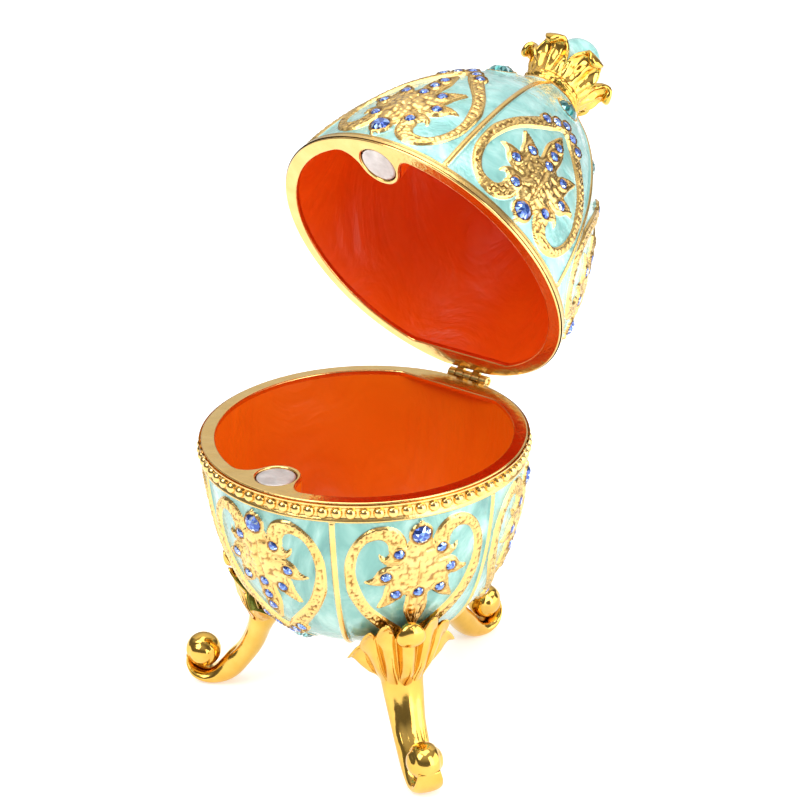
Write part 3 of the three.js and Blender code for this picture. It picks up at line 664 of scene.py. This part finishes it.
def plate(name, half, outlines, top, thick, bevel, material, gold=None):
    """A flat plate between closed outlines, with rounded edges. top is its face, from the rim plane."""
    data = bpy.data.curves.new(name, "CURVE")
    data.dimensions = "2D"
    data.fill_mode = "BOTH"
    data.extrude = thick / 2 - bevel
    data.bevel_depth = bevel
    data.bevel_resolution = 3
    data.offset = -bevel
    for outline in outlines:
        line = data.splines.new("POLY")
        line.points.add(len(outline) - 1)
        line.points.foreach_set("co", np.array([(x, y, 0, 1) for x, y in outline], np.float32).ravel())
        line.use_cyclic_u = True
    shape = put(name + "_outline", data)
    bpy.context.view_layer.update()
    mesh = bpy.data.meshes.new_from_object(shape.evaluated_get(bpy.context.evaluated_depsgraph_get()))
    bpy.data.objects.remove(shape)
    co = np.zeros(len(mesh.vertices) * 3, np.float32)
    mesh.vertices.foreach_get("co", co)
    co = co.reshape(-1, 3).astype(float)
    co[:, 2] += half.side * (top + thick / 2)
    mesh.vertices.foreach_set("co", half.place(co).astype(np.float32).ravel())
    mesh.name = name
    mesh.materials.clear()
    mesh.materials.append(material)
    if gold is not None:
        add_values(mesh, "gold", np.full(len(co), gold))
    mesh.update()
    piece = put(name, mesh)
    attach(piece, half.body)
    return piece


def circle(radius, x=0.0, y=0.0, count=180):
    angles = np.linspace(0, 2 * math.pi, count, endpoint=False)
    return np.stack([x + radius * np.cos(angles), y + radius * np.sin(angles)], -1)


def rim_outline():
    ring = circle(RIM_RADIUS + 0.15, count=240)
    near = (np.abs(ring[:, 0] - HINGE_SHIFT) < HINGE_HALF) & (ring[:, 1] > 0)
    ring[:, 1] = np.where(near, np.minimum(ring[:, 1], HINGE_FACE_Y), ring[:, 1])
    return ring


def rims_and_linings(half):
    edge = inner_edge()
    recess = circle(MAGNET_RADIUS + 0.2, 0, MAGNET_Y, 60)
    plate(f"{half.name}_rim", half, [rim_outline(), edge, recess], 0, RIM_THICK, 0.25, PALE_GOLD)
    boss = [p for p in edge if p[1] < -15 and abs(p[0]) < 9.6]
    boss = np.array([(boss[0][0], -28.0)] + boss + [(boss[-1][0], -28.0)])
    plate(f"{half.name}_boss", half, [boss, recess], 0.5, BOSS_DEPTH - 0.5, 0.3, half.lining, gold=-1.0)
    bottom = circle(MAGNET_RADIUS + 0.3, 0, MAGNET_Y, 48)
    plate(f"{half.name}_recess_floor", half, [bottom], RECESS_DEPTH, 0.6, 0.05, PALE_GOLD)
    if half.side < 0:
        wall = [(float(bowl_radius(d + 1.2)) - WALL - 0.2, -d) for d in (6, 12, 17, 22, 26, 29, 31.5)]
        profile = [(RIM_INNER + 0.15, -0.6), (RIM_INNER, -1.5)] + wall
        profile += [(16.4, -33.5), (13.0, -34.3), (BOWL_FLAT, -34.5), (4.5, -34.5), (0.4, -34.5)]
    else:
        wall = [(float(lid_radius(h)) - WALL - 0.012 * h, h) for h in (7, 12, 16, 20, 24, 28, 31, 34, 37)]
        profile = [(RIM_INNER + 0.15, 0.6), (RIM_INNER, 1.5)] + wall + [(6.6, 40.6), (3.4, 41.5), (0.4, 41.8)]
    smooth = curve_through(profile, 110)
    smooth[:, 0] = np.maximum(smooth[:, 0], 0.05)
    points, faces = lathe(np.concatenate([smooth, [[0, smooth[-1, 1]]]]), 160)
    faces = [f[:, ::-1] for f in faces] if half.side > 0 else faces
    angle = np.arctan2(points[:, 1], points[:, 0])
    ripple = 0.10 * np.sin(3 * angle + points[:, 2] * 0.21)
    ripple += 0.07 * np.sin(7 * angle - points[:, 2] * 0.37 + 1.3)
    radius = np.hypot(points[:, 0], points[:, 1])
    fade = rise(0.5, 8, np.abs(points[:, 2])) * rise(1, 9, radius)
    points[:, :2] *= (1 + ripple * fade / np.maximum(radius, 1))[:, None]
    mesh_piece(
        f"{half.name}_lining", points, faces, half.place, half.body, half.lining,
        {"gold": np.full(len(points), -1.0)}, slot="gilt_enamel",
    )


def beading():
    """The row of beads under the bowl's rim, left out behind the hinge."""
    ball, faces = unit_ball(9, 14)
    beads = []
    for k in range(BEADS):
        angle = 2 * math.pi * k / BEADS + BEAD_TURN
        x, y = math.cos(angle), math.sin(angle)
        if y > 0 and abs(RIM_RADIUS * x - HINGE_SHIFT) < HINGE_HALF + 1.0:
            continue
        turned = np.stack([ball[:, 0] * x - ball[:, 1] * y, ball[:, 0] * y + ball[:, 1] * x, ball[:, 2]], -1)
        middle = [(RIM_RADIUS - 0.1) * x, (RIM_RADIUS - 0.1) * y, -BEAD_RING]
        beads.append((turned * BEAD_RADIUS + middle, faces))
    mesh_piece("bowl_beading", *joined(beads), stand, "base", PALE_GOLD, slot="gold")


# ---------------------------------------------------------------- stones
def brilliant(radius, sides):
    """A cut stone: flat table, a row of kites and a row of small triangles down to the girdle."""
    rings = []
    for r, z, shift in ((0.52, 0.42, 0.5), (0.80, 0.24, 0.0), (1.0, 0.0, 0.5), (0.98, -0.3, 0.5)):
        turn = 2 * math.pi * (np.arange(sides) + shift) / sides
        rings.append(radius * np.stack([r * np.cos(turn), r * np.sin(turn), np.full(sides, z)], -1))
    points = np.concatenate(rings + [[[0, 0, 0.42 * radius]]])
    here = np.arange(sides)
    following = (here + 1) % sides
    table, kite, girdle, base = [here + sides * ring for ring in range(4)]
    next_table, next_kite, next_girdle, next_base = [following + sides * ring for ring in range(4)]
    triangles = [
        (table, next_table, np.full(sides, 4 * sides)), (next_kite, next_table, table),
        (table, girdle, next_kite), (kite, girdle, table), (girdle, next_girdle, next_kite),
        (girdle, base, next_base), (girdle, next_base, next_girdle),
    ]
    return points, np.concatenate([np.stack(corners, -1) for corners in triangles])


def set_stones(name, half, material, places, radius, sides, slot, replaced=()):
    """Stones of one size, each at (azimuth, across, along), as one piece with flat facets."""
    gem, tris = brilliant(radius, sides)
    lift = STONE_LIFT[radius]
    draw = np.random.default_rng(len(name) * 7 + len(places))
    corners, shades = [], []
    for azimuth, across, along in places:
        point, out, around = face_frame(half, azimuth, np.float64(across), np.float64(along))
        down = np.cross(out, around)
        spin = draw.uniform(0, 2 * math.pi)
        c, s = math.cos(spin), math.sin(spin)
        x, y = gem[:, 0] * c - gem[:, 1] * s, gem[:, 0] * s + gem[:, 1] * c
        stone = point + out * (lift + gem[:, 2:3]) + around * x[:, None] + down * y[:, None]
        corners.append(stone[tris].reshape(-1, 3))
        # Painted highlights: each facet gets a random brightness, from the stone's deep colour up to a
        # near-white painted glint, and the table's facets a middle one.
        level = draw.uniform(0, 1, len(tris)) ** 1.2
        level[:sides] = 0.35 + 0.4 * draw.uniform(0, 1, sides)
        shades.append(np.repeat(level, 3))
    points = np.concatenate(corners)
    first_out = face_frame(half, *np.float64(places[0]))[1]
    faces = np.arange(len(points)).reshape(-1, 3)
    normal = np.cross(points[1] - points[0], points[2] - points[0])
    if np.dot(normal, first_out) < 0:
        faces = faces[:, ::-1]
    facets = {"facet": np.concatenate(shades)}
    piece = mesh_piece(
        name, points, [faces], half.place, half.body, material, facets, smooth=False, slot=slot
    )
    if replaced:
        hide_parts(*replaced)


def all_stones():
    for half in (BOWL, LID):
        small = []
        for k, azimuth in enumerate(panel_azimuths):
            at = (azimuth, 0.0, HEAD_ALONG + half.shift)
            head = f"{half.name}_head_stone"
            names = f"{head}_set_{k + 1}", [f"{head}_{k + 1}"]
            set_stones(names[0], half, BLUE, [at], BIG_STONE, 10, "blue_stone", names[1])
            legged = half.side < 0 and k % 2 == 1
            seats = SMALL_SEATS + ([] if legged else TIP_SEATS + APEX_SEATS)
            for u, v in seats:
                small += [(azimuth, sign * u, v + half.shift) for sign in ((1, -1) if u else (1,))]
        set_stones(f"{half.name}_small_stones", half, BLUE, small, SMALL_STONE, 8, "blue_stone")
    bare = panel_azimuths[::2]
    for half, along, azimuths in ((LID, LID_TEAL_ALONG, panel_azimuths), (BOWL, BOWL_TEAL_ALONG, bare)):
        for k, azimuth in enumerate(azimuths):
            at = (azimuth, 0.0, along)
            teal = f"{half.name}_teal_stone"
            names = f"{teal}_set_{k + 1}", [f"{teal}_{k + 1}"]
            set_stones(names[0], half, TEAL, [at], TEAL_STONE, 12, "teal_stone", names[1])


# ---------------------------------------------------------------- catch and hinge
def magnets():
    for half in (BOWL, LID):
        top, r = MAGNET_SUNK, MAGNET_RADIUS
        face = [(0, top), (r * 0.5, top), (r - 0.35, top), (r - 0.1, top + 0.06), (r, top + 0.3)]
        points, faces = lathe(face + [(r, top + 2.2), (0, top + 2.2)], 56)
        points[:, 2] *= half.side
        points[:, 1] += MAGNET_Y
        faces = [f[:, ::-1] for f in faces] if half.side > 0 else faces
        name = f"{half.name}_magnet"
        piece = mesh_piece(
            f"{name}_disc", points, faces, half.place, half.body, STEEL, smooth=False, slot="magnet"
        )
        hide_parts(name)


BLOCK_FACES = np.array(
    [[0, 1, 3, 2], [4, 6, 7, 5], [0, 4, 5, 1], [2, 3, 7, 6], [0, 2, 6, 4], [1, 5, 7, 3]]
)


def hinge_parts():
    length = KNUCKLES * KNUCKLE_LENGTH + (KNUCKLES - 1) * KNUCKLE_GAP
    for half, first in ((BOWL, 0), (LID, 1)):
        lift = 0.0 if half.side < 0 else -RIM_GAP
        pieces = []
        for index in range(first, KNUCKLES, 2):
            start = -length / 2 + index * (KNUCKLE_LENGTH + KNUCKLE_GAP)
            r, bore, end, round_off = KNUCKLE_RADIUS, 0.6, KNUCKLE_LENGTH, 0.12
            profile = [(bore, 0.25), (bore, 0.0), (r - round_off, 0.0), (r, round_off)]
            profile += [(r, end - round_off), (r - round_off, end), (bore, end), (bore, end - 0.25)]
            points, faces = lathe(profile, 32)
            pieces.append((np.stack([points[:, 2] + start, points[:, 0], points[:, 1]], -1), faces))
            ends, depths, heights = (start, start + end), (-1.45, -0.75), (0.0, half.side * 1.9)
            web = np.array([[x, y, z] for x in ends for y in depths for z in heights])
            pieces.append((web, [BLOCK_FACES if half.side > 0 else BLOCK_FACES[:, ::-1]]))
        points, faces = joined(pieces)
        points += [HINGE_SHIFT, HINGE_Y, HINGE_Z + lift]
        piece = mesh_piece(
            f"{half.name}_hinge_knuckles", points, faces, half.place, half.body, PALE_GOLD, smooth=False,
            slot="hinge_gold",
        )
        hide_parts(f"{half.name}_hinge_leaf")
        soften(piece, 40)
    half_pin = [(0, length / 2 - 0.15), (0.35, length / 2 - 0.15), (0.55, length / 2 - 0.3)]
    points, faces = lathe([(r, -z) for r, z in half_pin] + half_pin[::-1], 24)
    points = np.stack([points[:, 2], points[:, 0], points[:, 1]], -1) + [HINGE_SHIFT, HINGE_Y, HINGE_Z]
    pin = mesh_piece(
        "hinge_pin_rod", points, faces, stand, "base", PALE_GOLD, smooth=False, slot="hinge_gold"
    )
    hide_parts("hinge_pin")


def soften(piece, degrees):
    """Smooth shading, except across edges that turn by more than degrees."""
    mesh = piece.data
    mesh.polygons.foreach_set("use_smooth", np.full(len(mesh.polygons), True))
    mesh.set_sharp_from_angle(angle=math.radians(degrees))


# ---------------------------------------------------------------- legs
# The limb in its own plane, from under the bowl to the toe: its outward face and its underside, each
# as distance from the egg's axis and height below the rim, and its half width.
LIMB = [
    (24.2, -36.2, 14.6, -37.2, 5.4), (23.8, -40.0, 17.4, -41.0, 4.15), (24.7, -44.1, 19.5, -44.1, 3.75),
    (26.5, -48.0, 21.6, -48.7, 3.35), (28.8, -50.6, 24.2, -52.5, 3.2), (30.4, -52.6, 26.9, -55.7, 3.05),
    (31.9, -54.2, 29.7, -57.3, 3.0), (33.6, -55.0, 33.0, -57.7, 3.0), (35.3, -54.6, 35.9, -56.6, 2.9),
    (36.3, -53.2, 37.3, -54.2, 2.6), (36.5, -51.6, 37.4, -51.8, 2.1),
]
SCROLL_BALL = {"x": 34.1, "z": -51.0, "radius": 3.5, "half_width": 3.4}


def shank():
    """The limb itself, from the head down to the toe that curls up round the ball."""
    stations = curve_through(LIMB, 110)
    sides = 48
    turn = np.linspace(0, 2 * math.pi, sides, endpoint=False)
    t = np.linspace(0, 1, len(stations))[:, None]
    xo, zo, xi, zi, across = [stations[:, k : k + 1] for k in range(5)]
    c, s = np.cos(turn), np.sin(turn)
    deep = np.sign(c) * np.abs(c) ** 0.95
    degrees = np.degrees(np.arctan2(s, c))
    groove = np.exp(-(((np.abs(degrees) - 24) / 8) ** 2))
    dent = 0.13 * groove * rise(0.12, 0.24, t) * rise(0.46, 0.36, t)
    deep = deep * (1 - dent)
    x = (xo + xi) / 2 + deep * (xo - xi) / 2
    z = (zo + zi) / 2 + deep * (zo - zi) / 2
    points = np.stack([x, across * np.sign(s) * np.abs(s) ** 0.85, np.maximum(z, GROUND)], -1)
    flat = points.reshape(-1, 3)
    tips = [points[0].mean(0), points[-1].mean(0)]
    start = len(flat)
    first_ring, last_ring = np.arange(sides), np.arange(sides) + start - sides
    ends = [fan(first_ring, start, flip=True), fan(last_ring, start + 1)]
    return np.concatenate([flat, tips]), [grid_faces(len(stations), sides, closed=True)] + ends


def ball():
    """The scroll's eye: a ball on its side with a low button at each end."""
    r, half_width = SCROLL_BALL["radius"], SCROLL_BALL["half_width"]
    points, faces = unit_ball(31, 44)
    radial = np.hypot(points[:, 0], points[:, 1])
    hollow = 1 - 0.10 * np.exp(-(((radial - 0.66) / 0.10) ** 2))
    lying = np.stack([points[:, 0] * r, -points[:, 2] * hollow * half_width, points[:, 1] * r], -1)
    return lying + [SCROLL_BALL["x"], 0, SCROLL_BALL["z"]], faces


# The right half of the leafed head's rim, from its middle petal round to the back: the petals' tips
# and the notches after each of them, as (lateral, out, up).
HEAD_TIPS = [(0, 26.9, -25.9), (4.4, 26.3, -25.2), (7.4, 24.3, -27.6), (9.8, 20.1, -34.3)]
HEAD_NOTCHES = [(2.3, 24.7, -30.4), (5.9, 24.3, -29.6), (8.2, 21.9, -32.2), (8.4, 17.2, -37.0)]


def leg_head():
    """Seven petals that spring from the limb, hug the bowl and curl out at their tips."""
    columns, rows = 241, 40
    place = np.linspace(0.5 - len(HEAD_TIPS), len(HEAD_TIPS) - 0.5, columns)
    far = len(HEAD_TIPS) - 1
    tips = curve_through([(-x, y, z) for x, y, z in HEAD_TIPS[:0:-1]] + HEAD_TIPS, 600)
    tips = np.stack([np.interp(place, np.linspace(-far, far, 600), column) for column in tips.T], -1)
    notches = curve_through([(-x, y, z) for x, y, z in HEAD_NOTCHES[::-1]] + HEAD_NOTCHES, columns)
    crest = np.abs(np.cos(math.pi * place))[:, None]
    centre = np.exp(-((place / 0.4) ** 2))[:, None]
    rim = notches + (tips - notches) * crest**0.8
    phi = np.radians(np.linspace(-112, 112, columns))
    root = np.stack([4.1 * np.sin(phi), 20.3 + 3.4 * np.cos(phi), -40.9 - 1.3 * np.cos(phi)], -1)
    t = np.linspace(0, 1, rows)[:, None, None]
    out = np.stack([0.6 * rim[:, 0] / 9.7, np.ones(columns), np.zeros(columns)], -1)
    out /= np.linalg.norm(out, axis=1)[:, None]
    base = root + (rim - root) * t**1.1
    belly = rise(0.06, 0.36, t) * rise(1.05, 0.55, t) * (0.2 + 0.6 * crest + 1.0 * centre)
    flute = -0.4 * np.sin(math.pi * np.clip(1.1 * t, 0, 1)) * (1 - crest) ** 1.5
    curl = rise(0.72, 1.0, t) * crest * (0.7 + 0.5 * centre)
    lip = 0.3 * rise(0.86, 0.97, t) * (0.4 + 0.6 * crest)
    down = np.array([0, 0, -1.0])
    points = base + out * (belly + flute + curl + lip) + down * 0.6 * rise(0.86, 1.0, t) * crest
    inner = points - out * 1.35 * (1 - 0.5 * rise(0.7, 1.0, t)) + down * 0.3 * rise(0.8, 1.0, t)
    both = np.concatenate([points, inner[::-1]], 0)
    swapped = np.stack([both[..., 1], both[..., 0], both[..., 2]], -1)
    return swapped.reshape(-1, 3), [grid_faces(2 * rows, columns)]


def petal_knob():
    """The swollen tip of the middle petal."""
    points, faces = unit_ball(21, 32)
    width = 2.7 * (1 - 0.22 * points[:, 2])
    swollen = np.stack([points[:, 0] * 1.5, points[:, 1] * width, points[:, 2] * 2.5], -1)
    return swollen + [27.2, 0, -28.6], faces


def legs():
    points, faces = joined([shank(), ball(), leg_head(), petal_knob()])
    for name, azimuth in LEG_AZIMUTHS.items():
        place = turned_by(math.radians(azimuth + LEG_TURN))
        piece = mesh_piece(f"cabriole_{name}", points, faces, place, "base", GOLD, slot="gold")
        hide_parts(name)


# ---------------------------------------------------------------- crown and bud
# The middle line of a crown leaf, from the collar to its rolled tip: radius, height over the rim.
CROWN_LEAF = [
    (5.7, 46.9), (6.0, 48.6), (6.6, 50.5), (7.3, 52.2), (8.0, 53.4), (8.7, 54.0), (9.2, 53.8), (9.35, 53.2),
]
CROWN_VALLEY = 0.46
CROWN_THICK = 0.9
COLLAR = [
    (5.0, 45.4), (5.9, 46.2), (6.3, 47.0), (6.1, 47.9), (5.4, 48.6), (5.0, 50.0), (4.2, 51.6), (2.0, 52.2),
    (0.3, 52.3),
]


def crown_cup():
    """Six leaves that spring from one cup: a sheet with thickness, its edge scalloped and rolled."""
    per_leaf, rows, edge_rows = 32, 44, 6
    line = curve_through(CROWN_LEAF, 160)
    length = np.concatenate([[0], np.cumsum(np.hypot(*np.diff(line, axis=0).T))])
    length /= length[-1]
    run = np.gradient(line, axis=0)
    run /= np.linalg.norm(run, axis=1)[:, None]
    s = np.linspace(-1, 1, per_leaf, endpoint=False)
    reach = CROWN_VALLEY + (1 - CROWN_VALLEY) * (1 - np.abs(s) ** 1.8) ** 0.85

    def sheet(t, offset, beyond):
        at = [np.interp(t, length, column) for column in (*line.T, *run.T)]
        r = at[0] + at[3] * offset + at[2] * beyond
        z = at[1] - at[2] * offset + at[3] * beyond
        return r, z

    t = np.linspace(0, 1, rows)[:, None] * reach
    ridges = 0.42 * np.cos(3 * math.pi * s * (1 - 0.35 * t)) * rise(0.08, 0.45, t)
    rolled = 0.42 * np.exp(-(((reach - t) / 0.07) ** 2)) * rise(0.3, 0.6, t)
    knots = 0.12 * np.sin(15 * t + 5 * np.abs(s)) * rise(0.2, 0.5, t)
    outer = sheet(t, ridges + rolled + knots, 0)
    turn = np.linspace(0, math.pi, edge_rows + 2)[1:-1, None]
    lift = (ridges + rolled + knots)[-1]
    middle, half = (lift - CROWN_THICK) / 2, (lift + CROWN_THICK) / 2
    edge = sheet(np.repeat(reach[None], edge_rows, 0), middle + half * np.cos(turn), half * np.sin(turn))
    inner = sheet(t[::-1], np.full(t.shape, -CROWN_THICK), 0)
    r = np.concatenate([outer[0], edge[0], inner[0], outer[0][:1]])
    z = np.concatenate([outer[1], edge[1], inner[1], outer[1][:1]])
    blocks = []
    for azimuth in panel_azimuths:
        angle = azimuth + s * math.pi / PANELS
        blocks.append(np.stack([r * np.cos(angle), r * np.sin(angle), z], -1))
    points = np.concatenate(blocks, 1)
    return points.reshape(-1, 3), [grid_faces(*points.shape[:2], closed=True)]


def crown():
    points, faces = lathe(curve_through(COLLAR, 70), 120)
    angle = np.arctan2(points[:, 1], points[:, 0])
    speck = grains(angle * 6.2, points[:, 2] + 100, 0.8, seed=3)
    points[:, :2] *= (1 + 0.05 * speck * rise(49.0, 48.4, points[:, 2]))[:, None]
    points, faces = joined([(points, faces), crown_cup()])
    piece = mesh_piece("crown_leaves", points, faces, lean, "lid", GOLD, slot="gold")
    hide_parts("crown")


def bud():
    profile = [(0, BUD_CENTRE - 4.9)]
    for turn in np.linspace(-80, 84, 40):
        a = math.radians(turn)
        flat = 0.96 if turn > 0 else 1.06
        r = BUD_RADIUS * math.copysign(abs(math.cos(a)) ** (0.86 if turn > 0 else 1), math.cos(a))
        profile.append((r, BUD_CENTRE + flat * BUD_RADIUS * math.sin(a)))
    profile.append((0, BUD_CENTRE + 0.965 * BUD_RADIUS))
    points, faces = lathe(profile, 72)
    piece = mesh_piece("enamel_bud", points, faces, lean, "lid", BUD_ENAMEL, slot="bud_enamel")
    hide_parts("bud")


# ---------------------------------------------------------------- studio
# The camera looks from AZIMUTH and ELEVATION, DISTANCE away, at AIM to the right of and over the egg's
# rim. Lights are in watts.
AZIMUTH, ELEVATION, ROLL = math.radians(39.1), math.radians(24.09), math.radians(-1.056)
DISTANCE = 369.7
AIM = (6.59, 5.37)
LENS = 90.07
WORLD_LIGHT = 0.62
KEY_LIGHT = 1.7
FILL_LIGHT = 1.3
SIDE_LIGHT = 1.2
TOP_LIGHT = 2.2
REAR_LIGHT = 1.1
FLOOR_GLOW = 0.42
FLOOR_HALF = 4.0


def camera():
    flat = math.cos(ELEVATION)
    back = np.array([math.sin(AZIMUTH) * flat, -math.cos(AZIMUTH) * flat, math.sin(ELEVATION)])
    level = np.array([math.cos(AZIMUTH), math.sin(AZIMUTH), 0])
    upright = np.cross(back, level)
    right = math.cos(ROLL) * level + math.sin(ROLL) * upright
    up = -math.sin(ROLL) * level + math.cos(ROLL) * upright
    data = bpy.data.cameras.new("camera")
    data.lens = LENS
    data.clip_start = 0.01
    data.clip_end = 20
    viewer = put("camera", data)
    place = stand(DISTANCE * back + AIM[0] * right + AIM[1] * up)
    matrix = Matrix((right, up, back)).transposed().to_4x4()
    matrix.translation = Vector(place)
    viewer.matrix_world = matrix
    bpy.context.scene.camera = viewer
    return back, right


def softbox(name, offset, width, height, power):
    """A rectangular light that looks at the egg from offset, in millimetres."""
    data = bpy.data.lights.new(name, "AREA")
    data.shape = "RECTANGLE"
    data.size, data.size_y = width, height
    data.energy = power
    light = put(name, data)
    light.location = Vector(stand(offset))
    aim = Vector(stand([0, 8, 0]))
    light.rotation_euler = (aim - light.location).to_track_quat("-Z", "Y").to_euler()


def grey(level):
    return (level, level, level)


def studio(back, right):
    world = bpy.data.worlds.new("studio")
    world.use_nodes = True
    nodes, links = world.node_tree.nodes, world.node_tree.links
    background = nodes["Background"]
    where = nodes.new("ShaderNodeTexCoord").outputs["Generated"]
    split = nodes.new("ShaderNodeSeparateXYZ")
    links.new(where, split.inputs["Vector"])
    shade = ramp(nodes, links, split.outputs["Z"], [(0.0, grey(0.34)), (0.35, grey(0.28)), (0.8, grey(1.0))])
    links.new(shade, background.inputs["Color"])
    background.inputs["Strength"].default_value = WORLD_LIGHT
    bpy.context.scene.world = world
    bpy.context.scene.view_settings.view_transform = "Standard"
    flat = np.array([back[0], back[1], 0]) / math.hypot(back[0], back[1])
    softbox("key", flat * 260 - right * 330 + np.array([0, 0, 420]), 0.34, 0.34, KEY_LIGHT)
    softbox("fill", flat * 330 + right * 360 + np.array([0, 0, 180]), 0.22, 0.5, FILL_LIGHT)
    softbox("side", right * 430 + flat * 60 + np.array([0, 0, 40]), 0.4, 0.4, SIDE_LIGHT)
    softbox("top", np.array([0, 0, 620]), 0.5, 0.5, TOP_LIGHT)
    softbox("rear", -flat * 420 + np.array([0, 0, 330]), 1.1, 0.6, REAR_LIGHT)
    material, nodes, links, shader = new_material("pale_floor")
    tone = noise(nodes, links, position(nodes), scale=3, detail=2.0)
    links.new(ramp(nodes, links, tone, [(0.0, grey(0.88)), (1.0, grey(0.92))]), shader.inputs["Base Color"])
    shader.inputs["Roughness"].default_value = 0.6
    shader.inputs["Emission Color"].default_value = (1, 1, 1, 1)
    shader.inputs["Emission Strength"].default_value = FLOOR_GLOW
    mesh = bpy.data.meshes.new("floor")
    corners = [(x * FLOOR_HALF, y * FLOOR_HALF, 0) for x, y in ((-1, -1), (1, -1), (1, 1), (-1, 1))]
    mesh.from_pydata(corners, [], [(0, 1, 2, 3)])
    mesh.materials.append(material)
    floor = put("floor", mesh)


half_skin(BOWL)
half_skin(LID)
rims_and_linings(BOWL)
rims_and_linings(LID)
beading()
all_stones()
magnets()
hinge_parts()
legs()
crown()
bud()
studio(*camera())
